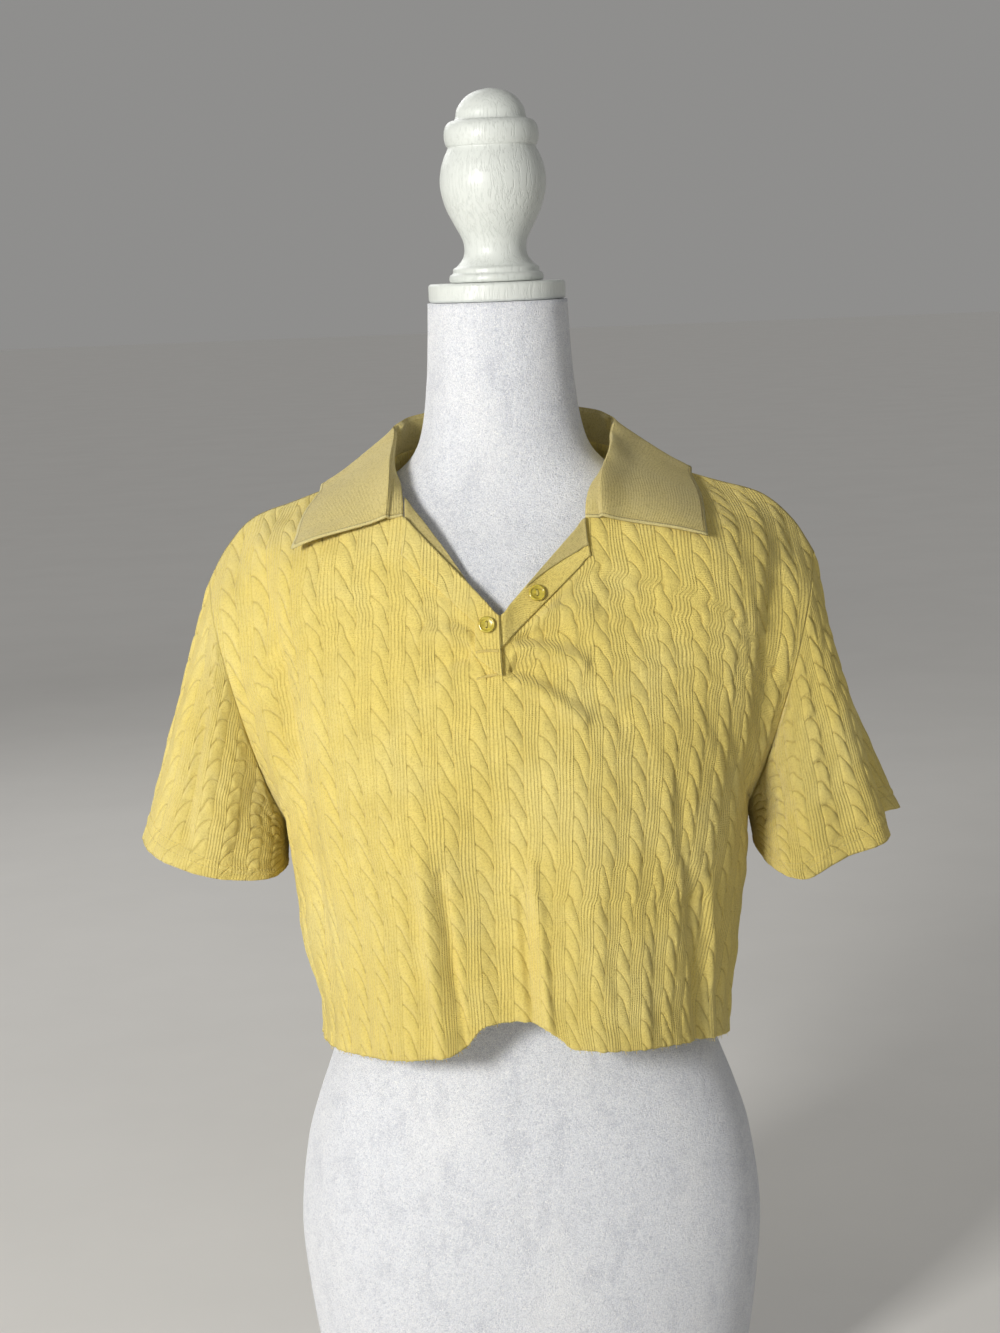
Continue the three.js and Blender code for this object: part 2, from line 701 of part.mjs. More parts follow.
// Seam frames: the two pieces at a seam share its normal and lie to each side of it along "across".
function edgeNormalInXZ(before, after, outwards) {
  const tangent = after.clone().sub(before);
  const normal = new THREE.Vector3(-tangent.z, 0, tangent.x).normalize();
  return normal.dot(outwards) < 0 ? normal.negate() : normal;
}

function bodyNet(facing) {
  const net = new Net({
    first: -HALF_COLUMNS,
    last: HALF_COLUMNS,
    rows: ROWS,
    facing,
    has: facing < 0 ? belowNeck : () => true,
  });
  const folds = facing < 0 ? FRONT_FOLDS : BACK_FOLDS;
  net.fill((i, j) => bodySurface(facing, i, j));
  net.findNormals();
  net.move((i, j) => foldHeight(folds, i, j, COLUMN_WIDTH, ROW_HEIGHT) * foldCalm(i));
  for (const [i, j] of net.nodes()) clearOfForm(net.point(i, j), FORM_CLEARANCE);
  return net;
}

// At the side and shoulder seams both panels get the seam's own normal and half of its gap.
function settleSeams(front, back) {
  for (const net of [front, back]) {
    for (const sign of [-1, 1]) {
      const column = sign * HALF_COLUMNS;
      for (let j = 0; j <= UNDERARM_ROW; j += 1) {
        const before = net.point(column, Math.max(0, j - 1));
        const after = net.point(column, Math.min(UNDERARM_ROW, j + 1));
        const outwards = new THREE.Vector3(sign, 0, 0);
        net.normals.set(net.key(column, j), edgeNormalInXZ(before, after, outwards));
      }
      for (let k = NECK_COLUMN; k <= HALF_COLUMNS; k += 1) {
        const before = net.point(sign * Math.max(NECK_COLUMN, k - 1), ROWS);
        const after = net.point(sign * Math.min(HALF_COLUMNS, k + 1), ROWS);
        const outwards = new THREE.Vector3(sign * 0.3, 0, 1);
        net.normals.set(net.key(sign * k, ROWS), edgeNormalInXZ(before, after, outwards));
      }
    }
  }
  for (const sign of [-1, 1]) {
    for (let j = 0; j <= UNDERARM_ROW; j += 1) shareEdge(front, back, sign * HALF_COLUMNS, j);
    for (let k = NECK_COLUMN; k <= HALF_COLUMNS; k += 1) shareEdge(front, back, sign * k, ROWS);
  }
}

function shareEdge(front, back, i, j) {
  const seam = front.point(i, j).clone().add(back.point(i, j)).multiplyScalar(0.5);
  front.point(i, j).copy(seam).y -= SEAM_GAP / 2;
  back.point(i, j).copy(seam).y += SEAM_GAP / 2;
}

// The node of a body panel that a step of the sleeve's loop meets.
function armholeNode(step) {
  const climb = step <= ARMHOLE_STEPS ? step : LOOP_STEPS - step;
  return { facing: step > 0 && step < ARMHOLE_STEPS ? -1 : 1, row: UNDERARM_ROW + climb };
}

function armholeSeam(side, front, back) {
  const column = side.sign * HALF_COLUMNS;
  const seam = [];
  for (let step = 0; step < LOOP_STEPS; step += 1) {
    const { facing, row } = armholeNode(step);
    const corner = step === 0 || step === ARMHOLE_STEPS;
    const panel = facing < 0 ? front : back;
    const inner = panel.point(column - side.sign, row);
    const point = panel.point(column, row).clone();
    if (corner) point.y -= SEAM_GAP / 2;
    const beside = smoothStep(1 - Math.min(step, LOOP_STEPS - step) / UNDERARM_TURN);
    point.x += side.sign * beside * UNDERARM_APART;
    seam.push({ point, inner, row, corner, facing, beside });
  }
  return seam;
}

function cuffPoint(side, step) {
  const table = CUFFS[side.name];
  const wrapped = [...table, { ...table[0], step: LOOP_STEPS }];
  const last = table[table.length - 1];
  wrapped.unshift({ ...last, step: last.step - LOOP_STEPS });
  wrapped.push({ ...table[1], step: table[1].step + LOOP_STEPS });
  return new THREE.Vector3(
    read(wrapped, 'step', 'x', step),
    read(wrapped, 'step', 'y', step),
    read(wrapped, 'step', 'z', step),
  );
}

function sleeveNet(side, seam) {
  const net = new Net({ first: 0, last: LOOP_STEPS, rows: SLEEVE_ROWS, wrapped: true, facing: side.sign });
  net.fill((step, k) => {
    const share = k / SLEEVE_ROWS;
    return seam[step].point.clone().lerp(cuffPoint(side, step), share);
  });
  net.findNormals();
  net.move((step, k) => {
    const share = k / SLEEVE_ROWS;
    const away = Math.min(step, LOOP_STEPS - step) / SLEEVE_CALM_STEPS;
    const height = foldHeight(SLEEVE_FOLDS[side.name], step, k, SLEEVE_STEP_WIDTH, SLEEVE_ROW_HEIGHT);
    return height * smoothStep(share / SLEEVE_CALM_SHARE) * smoothStep(away);
  });
  net.findNormals();
  return net;
}

// Gives both sides of the armhole one normal, and half of the gap each.
function settleArmhole(side, seam, front, back, sleeve) {
  const column = side.sign * HALF_COLUMNS;
  const gathered = seam.map((stop, step) => {
    const ahead = seam[(step + 1) % LOOP_STEPS].point;
    const behind = seam[(step + LOOP_STEPS - 1) % LOOP_STEPS].point;
    const tangent = ahead.clone().sub(behind).normalize();
    const fromBody = stop.point.clone().sub(stop.inner).normalize();
    const toCuff = sleeve.point(step, 1).clone().sub(stop.point).normalize();
    const across = fromBody.add(toCuff);
    across.addScaledVector(tangent, -across.dot(tangent)).normalize();
    const normal = tangent.clone().cross(across).normalize();
    if (normal.dot(sleeve.normal(step, 1)) < 0) normal.negate();
    return { across, normal };
  });
  seam.forEach((stop, step) => {
    const { across, normal } = gathered[step];
    if (stop.corner) {
      across.y = 0;
      across.normalize();
      normal.y = 0;
      normal.normalize();
    }
    const shared = (own) => normal.clone().lerp(own, stop.beside).normalize();
    const half = (1 - stop.beside) * (SEAM_GAP / 2);
    sleeve.point(step, 0).addScaledVector(across, half);
    sleeve.normals.set(sleeve.key(step, 0), shared(sleeve.normal(step, 0)));
    const panels = stop.corner ? [front, back] : [stop.facing < 0 ? front : back];
    for (const panel of panels) {
      panel.point(column, stop.row).addScaledVector(across, -half);
      panel.normals.set(panel.key(column, stop.row), shared(panel.normal(column, stop.row)));
    }
  });
}

const onEdge = (net, i, j) => {
  const side = !net.wrapped && (i === net.first || i === net.last);
  return side || j === 0 || j === net.rows;
};

// Where a band lies on the front its cloth is plain under it.
const underBand = (i, j) => {
  const besideV = Math.abs(i) <= NECK_COLUMN && j >= CORNER_ROW - BAND_ROWS && j <= CORNER_ROW;
  const belowV = i >= -BAND_COLUMNS && i <= 0 && j >= PLACKET_END_ROW && j <= CORNER_ROW;
  return besideV || belowV;
};

function bodyRise(net, i, j) {
  const neckline = net.facing < 0 && Math.abs(i) === NECK_COLUMN && j >= CORNER_ROW;
  if (onEdge(net, i, j) || neckline) return 0;
  if (net.facing < 0 && underBand(i, j)) return 0;
  return cableRise(i, j);
}

function sleeveRise(net, step, k) {
  if (k === 0) return 0;
  if (k >= net.rows - 1) return CUFF_HEM_RISE;
  const nearUnderarm = Math.min(step, LOOP_STEPS - step) < SLEEVE_PLAIN_STEPS;
  return nearUnderarm ? 0 : cableRise(step, k);
}

function clothGeometry(net, rise) {
  const outer = (i, j) => net.point(i, j).clone().addScaledVector(net.normal(i, j), WALL + rise(net, i, j));
  const inner = (i, j) => {
    const drop = onEdge(net, i, j) ? 0 : innerDrop(net, i, j);
    return net.point(i, j).clone().addScaledVector(net.normal(i, j), -drop);
  };
  return wallGeometry(net, outer, inner, 2);
}

// A thin piece whose thickness is the same all over.
function plainWall(net, thickness) {
  const outer = (i, j) => net.point(i, j);
  const inner = (i, j) => net.point(i, j).clone().addScaledVector(net.normal(i, j), -thickness);
  return wallGeometry(net, outer, inner, 1);
}

// The neckline as the collar meets it, from the left front corner round the back to the right.
function neckline(front, back) {
  const stops = [];
  for (let j = CORNER_ROW; j <= ROWS; j += 1) stops.push({ net: front, i: -NECK_COLUMN, j, way: -1 });
  for (let i = -NECK_COLUMN + 1; i < NECK_COLUMN; i += 1) stops.push({ net: back, i, j: ROWS, way: 0 });
  for (let j = ROWS; j >= CORNER_ROW; j -= 1) stops.push({ net: front, i: NECK_COLUMN, j, way: 1 });
  return stops;
}

// The place on the body under a share of the collar's fall, which is "reach" steps of the net wide.
function underCollar(front, back, stop, share, shape, fromCorner) {
  const slip = shape.slip * share;
  if (stop.way !== 0) {
    const column = stop.i + stop.way * shape.reach * share;
    return front.between(column, Math.min(ROWS, stop.j + slip));
  }
  const turn = smoothStep((fromCorner - BACK_TURN_STEP) / BACK_TURN_LENGTH);
  const sideways = Math.sign(stop.i || 1) * (1 - turn) * shape.reach * share;
  const down = shape.reach * share * Math.min(1, turn * BACK_TURN_HASTE);
  return back.between(clamp(stop.i + sideways, -HALF_COLUMNS, HALF_COLUMNS), ROWS - down);
}

function collarNet(front, back) {
  const stops = neckline(front, back);
  const last = stops.length - 1;
  const sectionSteps = STAND_STEPS + ROLL_STEPS + FALL_STEPS;
  const lowest = WALL + CABLE_RISE + COLLAR_LIFT + COLLAR_THICKNESS;
  const net = new Net({ first: 0, last, rows: sectionSteps, facing: -1 });
  net.fill((n, k) => {
    const stop = stops[n];
    const fromCorner = Math.min(n, last - n);
    const shape = {
      stand: read(COLLAR_FALL, 'step', 'stand', fromCorner),
      reach: read(COLLAR_FALL, 'step', 'reach', fromCorner),
      slip: read(COLLAR_FALL, 'step', 'slip', fromCorner),
      lean: read(COLLAR_FALL, 'step', 'lean', fromCorner),
    };
    const seat = { point: stop.net.point(stop.i, stop.j).clone(), normal: stop.net.normal(stop.i, stop.j) };
    if (fromCorner === 0) seat.point.lerp(stop.net.point(stop.i, stop.j + 1), CORNER_INSET);
    const upright = smoothStep((fromCorner - UPRIGHT_STEP) / UPRIGHT_LENGTH);
    const rise = seat.normal.clone().lerp(new THREE.Vector3(0, 0, 1), upright).normalize();
    const out = underCollar(front, back, stop, DIRECTION_SHARE, shape, fromCorner).point.sub(seat.point);
    out.addScaledVector(rise, -out.dot(rise)).normalize();
    seat.point.addScaledVector(seat.normal, WALL + SEAM_GAP);
    const top = Math.max(shape.stand, lowest + LOWEST_ROLL) - WALL - SEAM_GAP;
    if (k <= STAND_STEPS) {
      const share = k / STAND_STEPS;
      return seat.point
        .clone()
        .addScaledVector(rise, (top - ROLL_RADIUS) * share)
        .addScaledVector(out, shape.lean * share);
    }
    if (k < STAND_STEPS + ROLL_STEPS) {
      const angle = ((k - STAND_STEPS) / ROLL_STEPS) * (Math.PI / 2);
      return seat.point
        .clone()
        .addScaledVector(rise, top - ROLL_RADIUS + ROLL_RADIUS * Math.sin(angle))
        .addScaledVector(out, shape.lean + ROLL_RADIUS * (1 - Math.cos(angle)));
    }
    const share = (k - STAND_STEPS - ROLL_STEPS) / FALL_STEPS;
    const start = underCollar(front, back, stop, 0, shape, fromCorner);
    const place = underCollar(front, back, stop, share, shape, fromCorner);
    const apex = seat.point.clone().addScaledVector(rise, top);
    apex.addScaledVector(out, shape.lean + ROLL_RADIUS);
    const drift = apex.sub(start.point.addScaledVector(start.normal, lowest));
    const lift = drift.dot(rise);
    drift.addScaledVector(rise, -lift);
    return place.point
      .addScaledVector(place.normal, lowest)
      .addScaledVector(rise, lift * (1 - share) ** FALL_POWER)
      .addScaledVector(drift, (1 - share) ** DRIFT_POWER);
  });
  net.findNormals();
  stops.forEach((stop, n) => {
    const footNormal = net.normal(n, 0);
    const clothNormal = stop.net.normal(stop.i, stop.j);
    footNormal.addScaledVector(clothNormal, -footNormal.dot(clothNormal));
    footNormal.normalize();
  });
  return net;
}

// The over band runs down the left edge of the V and on to the end of the placket; the under band
// runs down the right edge and on under it.
const overBandCell = (i, j) => {
  const besideV = i >= -NECK_COLUMN && i < 0 && j >= CORNER_ROW - BAND_ROWS;
  const belowV = i >= -BAND_COLUMNS && i < 0 && j >= PLACKET_END_ROW;
  return j < CORNER_ROW && (besideV || belowV);
};
const underBandCell = (i, j) => {
  const besideV = i >= 0 && i < NECK_COLUMN && j >= CORNER_ROW - BAND_ROWS;
  const belowV = i >= -BAND_COLUMNS && i < 0 && j >= PLACKET_END_ROW;
  return j < CORNER_ROW && (besideV || belowV);
};

function bandHeight(column, lifted) {
  const seat = WALL + SEAM_GAP + BAND_THICKNESS;
  const climb = smoothStep((column + BAND_COLUMNS + BAND_CLIMB_COLUMNS) / BAND_CLIMB_COLUMNS);
  const overlap = climb * (BAND_THICKNESS + SEAM_GAP);
  return lifted ? seat + overlap : seat;
}

function bandGeometry(front, has, lifted) {
  const net = new Net({ first: -NECK_COLUMN, last: NECK_COLUMN, rows: ROWS, facing: -1, has });
  net.fill((i, j) => front.point(i, j).clone().addScaledVector(front.normal(i, j), bandHeight(i, lifted)));
  for (const [i, j] of net.nodes()) net.normals.set(net.key(i, j), front.normal(i, j));
  return plainWall(net, BAND_THICKNESS);
}

// A closed mesh to a solid and back, for the holes.
function toSolid(geometry) {
  const bare = geometry.clone();
  bare.deleteAttribute('normal');
  bare.deleteAttribute('uv');
  const merged = mergeVertices(bare, 1e-4);
  return new wasm.Manifold(
    new wasm.Mesh({
      numProp: 3,
      vertProperties: new Float32Array(merged.attributes.position.array),
      triVerts: new Uint32Array(merged.index.array),
    }),
  );
}

function fromSolid(solid) {
  const made = solid.getMesh();
  const geometry = new THREE.BufferGeometry();
  geometry.setAttribute('position', new THREE.BufferAttribute(new Float32Array(made.vertProperties), 3));
  geometry.setIndex(new THREE.BufferAttribute(new Uint32Array(made.triVerts), 1));
  geometry.computeVertexNormals();
  return geometry;
}

// A turned piece about +Z from a profile of heights and radii.
function turned(profile, segments) {
  const first = profile[0];
  const last = profile[profile.length - 1];
  const points = profile.map((p) => new THREE.Vector2(p.r, p.z));
  if (first.r > 0) points.unshift(new THREE.Vector2(0, first.z));
  if (last.r > 0) points.push(new THREE.Vector2(0, last.z));
  return new THREE.LatheGeometry(points, segments).rotateX(Math.PI / 2);
}

function buttonGeometry() {
  const edge = BUTTON_THICKNESS / 3;
  const disc = toSolid(
    turned(
      [
        { z: 0, r: BUTTON_RADIUS * 0.7 },
        { z: edge, r: BUTTON_RADIUS },
        { z: 2 * edge, r: BUTTON_RADIUS },
        { z: BUTTON_THICKNESS, r: BUTTON_RADIUS * 0.86 },
        { z: BUTTON_THICKNESS, r: BUTTON_RADIUS * 0.74 },
        { z: BUTTON_THICKNESS - BUTTON_DISH, r: BUTTON_RADIUS * 0.58 },
      ],
      BUTTON_SEGMENTS,
    ),
  );
  const drill = new THREE.CylinderGeometry(
    BUTTON_HOLE_RADIUS,
    BUTTON_HOLE_RADIUS,
    3 * BUTTON_THICKNESS,
    BUTTON_HOLE_SEGMENTS,
  ).rotateX(Math.PI / 2);
  const holes = [-1, 1].map((way) => toSolid(drill.clone().translate(0, way * BUTTON_HOLE_OFFSET, 0)));
  return fromSolid(disc.subtract(holes[0]).subtract(holes[1]));
}

function buttonMesh(name, front, place) {
  const seat = front.between(place.column, place.row);
  const height = bandHeight(place.column, place.lifted) + 2 * SEAM_GAP;
  const button = mesh(name, buttonGeometry(), COLOURS.button);
  button.position.copy(seat.point.addScaledVector(seat.normal, height));
  button.quaternion.setFromUnitVectors(new THREE.Vector3(0, 0, 1), seat.normal);
  return button;
}

// One level of the form, as a ring of points.
function formRing(level) {
  const ring = [];
  for (let k = 0; k < FORM_SEGMENTS; k += 1) {
    const angle = (k / FORM_SEGMENTS) * 2 * Math.PI;
    const cos = Math.cos(angle);
    const sin = Math.sin(angle);
    const depth = sin < 0 ? level.front : level.back;
    const reach = (Math.abs(cos) ** FORM_POWER + Math.abs(sin) ** FORM_POWER) ** (-1 / FORM_POWER);
    ring.push(new THREE.Vector3(level.half * reach * cos, depth * reach * sin, level.z));
  }
  return ring;
}

function formGeometry() {
  const vertices = [];
  const triangles = [];
  const count = FORM_SEGMENTS;
  FORM.forEach((level) => formRing(level).forEach((p) => vertices.push(p.x, p.y, p.z)));
  for (let n = 0; n < FORM.length - 1; n += 1) {
    for (let k = 0; k < count; k += 1) {
      const a = n * count + k;
      const b = n * count + ((k + 1) % count);
      triangles.push(a, b, b + count, a, b + count, a + count);
    }
  }
  const bottom = FORM.length * count;
  const lid = bottom + 1;
  const highest = (FORM.length - 1) * count;
  vertices.push(0, 0, 0, 0, 0, NECK_TOP);
  for (let k = 0; k < count; k += 1) {
    const next = (k + 1) % count;
    triangles.push(bottom, next, k, lid, highest + k, highest + next);
  }
  const geometry = new THREE.BufferGeometry();
  geometry.setAttribute('position', new THREE.Float32BufferAttribute(vertices, 3));
  geometry.setIndex(triangles);
  geometry.computeVertexNormals();
  return geometry;
}

function capGeometry() {
  return turned(
    [
      { z: 0, r: CAP_RADIUS - CAP_EDGE },
      { z: CAP_EDGE, r: CAP_RADIUS },
      { z: CAP_THICKNESS - CAP_EDGE, r: CAP_RADIUS },
      { z: CAP_THICKNESS, r: CAP_RADIUS - CAP_EDGE },
    ],
    TURNED_SEGMENTS,
  );
}

const mesh = (name, geometry, finish) => {
  const made = new THREE.Mesh(geometry, new THREE.MeshStandardMaterial(finish));
  made.name = name;
  return made;
};

function buildTop() {
  const group = new THREE.Group();
  const front = bodyNet(-1);
  const back = bodyNet(1);
  settleSeams(front, back);
  for (const side of SIDES) {
    const seam = armholeSeam(side, front, back);
    const net = sleeveNet(side, seam);
    settleArmhole(side, seam, front, back, net);
    group.add(mesh(`sleeve_${side.name}`, clothGeometry(net, sleeveRise), COLOURS.cloth));
  }
  group.add(mesh('front', clothGeometry(front, bodyRise), COLOURS.cloth));
  group.add(mesh('back', clothGeometry(back, bodyRise), COLOURS.cloth));
  group.add(mesh('collar', plainWall(collarNet(front, back), COLLAR_THICKNESS), COLOURS.collar));
  group.add(mesh('placket_over', bandGeometry(front, overBandCell, true), COLOURS.cloth));
  group.add(mesh('placket_under', bandGeometry(front, underBandCell, false), COLOURS.cloth));
  group.add(buttonMesh('button_lower', front, BUTTONS.lower));
  group.add(buttonMesh('button_upper', front, BUTTONS.upper));
  return group;
}

function buildForm() {
  const group = new THREE.Group();
  const cap = mesh('neck_cap', capGeometry(), COLOURS.paintedWood);
  cap.position.z = NECK_TOP + SEAM_GAP;
  const profile = [...FINIAL, { z: FINIAL_HEIGHT, r: 0 }];
  const finial = mesh('finial', turned(profile, TURNED_SEGMENTS), COLOURS.paintedWood);
  finial.position.z = NECK_TOP + CAP_THICKNESS + 2 * SEAM_GAP;
  group.add(mesh('form', formGeometry(), COLOURS.velvet), cap, finial);
  return group;
}

const dressedForm = new THREE.Group();
dressedForm.add(buildForm(), buildTop());

export default dressedForm;
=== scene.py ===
"""A short-sleeved cable-knit polo crop top on a limbless velvet dress form with a turned finial.

Tables and fields are in millimetres in the row frame (+Z up, the front faces -Y); every mesh is made in
metres. Left and right are as seen from the front.
"""

import logging
import math
from dataclasses import dataclass, field
from enum import Enum
from typing import Any, Callable, Iterable, Sequence

import bmesh
import bpy
import numpy as np
from mathutils import Matrix, Vector

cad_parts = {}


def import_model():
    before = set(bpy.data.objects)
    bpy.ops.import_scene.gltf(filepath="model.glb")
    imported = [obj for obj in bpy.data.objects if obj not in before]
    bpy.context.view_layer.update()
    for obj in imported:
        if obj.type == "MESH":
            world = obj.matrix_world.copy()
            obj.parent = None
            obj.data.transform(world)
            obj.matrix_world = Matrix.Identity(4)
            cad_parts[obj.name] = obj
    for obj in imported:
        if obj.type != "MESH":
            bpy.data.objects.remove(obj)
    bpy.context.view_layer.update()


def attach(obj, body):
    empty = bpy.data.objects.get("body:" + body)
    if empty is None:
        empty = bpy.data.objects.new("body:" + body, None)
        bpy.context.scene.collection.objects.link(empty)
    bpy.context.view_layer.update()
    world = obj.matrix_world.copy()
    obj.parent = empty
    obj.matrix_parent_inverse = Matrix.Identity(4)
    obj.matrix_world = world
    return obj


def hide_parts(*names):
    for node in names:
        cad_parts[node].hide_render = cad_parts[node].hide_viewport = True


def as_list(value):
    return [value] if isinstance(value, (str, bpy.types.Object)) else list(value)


log = logging.getLogger("crop_top")

MM = 0.001
ROOT_BODY = "root"

WALL = 1.7
SEAM_GAP = 0.3
FORM_CLEARANCE = 2.3
CLEARING_PASSES = 4
CABLE_RISE = 1.0

HALF_COLUMNS = 22
COLUMN_WIDTH = 10.8
ROWS = 36
ROW_HEIGHT = 11.5
UNDERARM_ROW = 16
CORNER_ROW = 28
NECK_COLUMN = 8
SLEEVE_ROWS = 14
ARMHOLE_STEPS = ROWS - UNDERARM_ROW
LOOP_STEPS = 2 * ARMHOLE_STEPS
UNDERARM_TURN = 7
UNDERARM_APART = 2 * WALL + 5 * SEAM_GAP

SIDE_Y = 5.0
SQUARENESS = 0.84
GIRTH_SAMPLES = 40
UNDERARM_Z = 455.0
BUST_ROW_Z = 503.0
BUST_ROW_CROWN = 2.4
LOWER_KNOT_ROW = UNDERARM_ROW - 6
SHOULDER_Y = 4.0
ARMHOLE_PULL_COLUMNS = 8
CURVE_DIVISIONS = 120
SIDE_SEAM_CALM = 3
FOLD_END_SHARE = 0.45
FOLD_END_PHASE = 0.15
SLEEVE_STEP_WIDTH = 9.5
SLEEVE_ROW_HEIGHT = 13.0
SLEEVE_CALM_SHARE = 1 / 3
SLEEVE_CALM_STEPS = 6


class Facing(Enum):
    """The way that a body panel faces, as the sign of its outward Y."""

    FRONT = -1
    BACK = 1


@dataclass(frozen=True)
class Table:
    """A table of named columns, its rows ordered by the first one."""

    names: tuple[str, ...]
    rows: tuple[tuple[float, ...], ...]

    def column(self, name: str) -> np.ndarray:
        """The values of one column."""
        return np.array([row[self.names.index(name)] for row in self.rows], float)

    def read(self, name: str, at: Any) -> Any:
        """The smooth value of one column at a place along the first one."""
        return smooth_read(self.column(self.names[0]), self.column(name), at)


GIRTH = Table(
    ("z", "left", "right", "front", "back"),
    (
        (280, 147, 146, 124, 114),
        (330, 146, 149, 122, 114),
        (370, 156, 154, 121, 113),
        (420, 160, 162, 121, 111),
        (455, 162, 165, 122, 109),
        (500, 168, 170, 123, 107),
        (540, 172, 174, 121, 106),
    ),
)
HEMS = {
    Facing.FRONT: Table(
        ("across", "z"),
        (
            (-1, 300), (-0.6, 307), (-0.2, 318), (-0.15, 333), (0, 338),
            (0.08, 331), (0.13, 320), (0.55, 308), (1, 291),
        ),
    ),
    Facing.BACK: Table(("across", "z"), ((-1, 300), (-0.4, 309), (0.1, 303), (0.6, 308), (1, 291))),
}
V_POINT = np.array([-7.0, -104.0, 617.0])
THROAT = np.array([-7.0, -50.0, 705.0])
BACK_NECK = {"y": 64.0, "z": 724.0}
BLADE_LINE = ((0, 101, 642), (82, 99, 638), (146, 87, 618))
ARMHOLE = Table(
    ("row", "x", "front", "back", "z"),
    (
        (16, 163, 5, 5, 455),
        (18, 167, -13, 22, 466),
        (21, 178, -28, 36, 496),
        (25, 191, -36, 45, 541),
        (28, 199, -37, 46, 574),
        (32, 207, -26, 35, 610),
        (36, 212, 4, 4, 634),
    ),
)


@dataclass(frozen=True)
class Side:
    """One side of the top: where its neck corner, chest, shoulder and cuff lie."""

    name: str
    sign: int
    corner: tuple[float, float, float]
    chest: tuple[float, float, float]
    shoulder: tuple[tuple[float, float], ...]
    armhole_shift: tuple[float, float]
    cuff: Table

    def seam_points(self) -> np.ndarray:
        """The shoulder seam's knots, from the neck out."""
        return np.array([(x, SHOULDER_Y, z) for x, z in self.shoulder], float)


CUFF_COLUMNS = ("step", "x", "y", "z")
LEFT = Side(
    name="left",
    sign=-1,
    corner=(-70, -70, 682),
    chest=(-146, -66, 645),
    shoulder=((-79, 714), (-113, 701), (-147, 689), (-180, 677), (-199, 657), (-212, 634)),
    armhole_shift=(0, 0),
    cuff=Table(
        CUFF_COLUMNS,
        (
            (0, -170, 6, 425),
            (4, -180, -32, 424),
            (9, -212, -49, 429),
            (15, -252, -36, 440),
            (20, -270, 2, 448),
            (25, -259, 38, 450),
            (31, -218, 53, 441),
            (36, -182, 38, 428),
        ),
    ),
)
RIGHT = Side(
    name="right",
    sign=1,
    corner=(54, -72, 677),
    chest=(146, -68, 643),
    shoulder=((82, 714), (116, 703), (150, 692), (183, 681), (204, 662), (218, 639)),
    armhole_shift=(5, 4),
    cuff=Table(
        CUFF_COLUMNS,
        (
            (0, 174, 6, 429),
            (4, 183, -36, 419),
            (8, 203, -52, 413),
            (12, 232, -36, 424),
            (16, 262, -24, 431),
            (19, 268, 2, 436),
            (22, 272, 28, 441),
            (25, 285, 50, 438),
            (29, 252, 62, 431),
            (35, 192, 44, 428),
        ),
    ),
)
SIDES = (LEFT, RIGHT)

# Folds: the column and row where each starts and ends, its half-width and its height, negative for a valley.
Fold = tuple[float, float, float, float, float, float]
FRONT_FOLDS: tuple[Fold, ...] = (
    (-19, 34, -16.5, 22, 17, -5),
    (-16.5, 22, -15, 6, 20, -6),
    (-19.5, 26, -18.5, 12, 18, 3),
    (20, 33, 19.5, 22, 15, -4),
    (-8, -1, -7, 12, 34, 6),
    (-0.8, -2, -2, 13, 24, -7),
    (5.5, -2, 4, 16, 27, 7),
    (14, -1, 13, 9, 21, -5),
    (18, 0, 18, 12, 20, 3),
    (1.5, 26.5, 8, 27, 12, -2),
    (1, 25, 8, 21, 12, -2.4),
    (-2, 24.5, -6, 23, 12, -1.8),
)
BACK_FOLDS: tuple[Fold, ...] = (
    (-19, 33, -15, 12, 20, -5),
    (19, 33, 15.5, 14, 20, -5),
    (-10, -1, -9, 14, 30, 7),
    (-2, -2, 0, 17, 27, -6),
    (7, -2, 6, 13, 28, 6),
    (14, -1, 13, 10, 22, -5),
)
SLEEVE_FOLDS: dict[str, tuple[Fold, ...]] = {
    "left": ((16, 0, 13.5, 12, 15, -4), (5, 4, 8, 15, 15, -3), (27, 1, 29, 15, 18, -4)),
    "right": ((20, 1, 21, 15, 15, -6), (3, 3, 9.5, 15, 15, -4), (32, 1, 31, 15, 18, -3)),
}

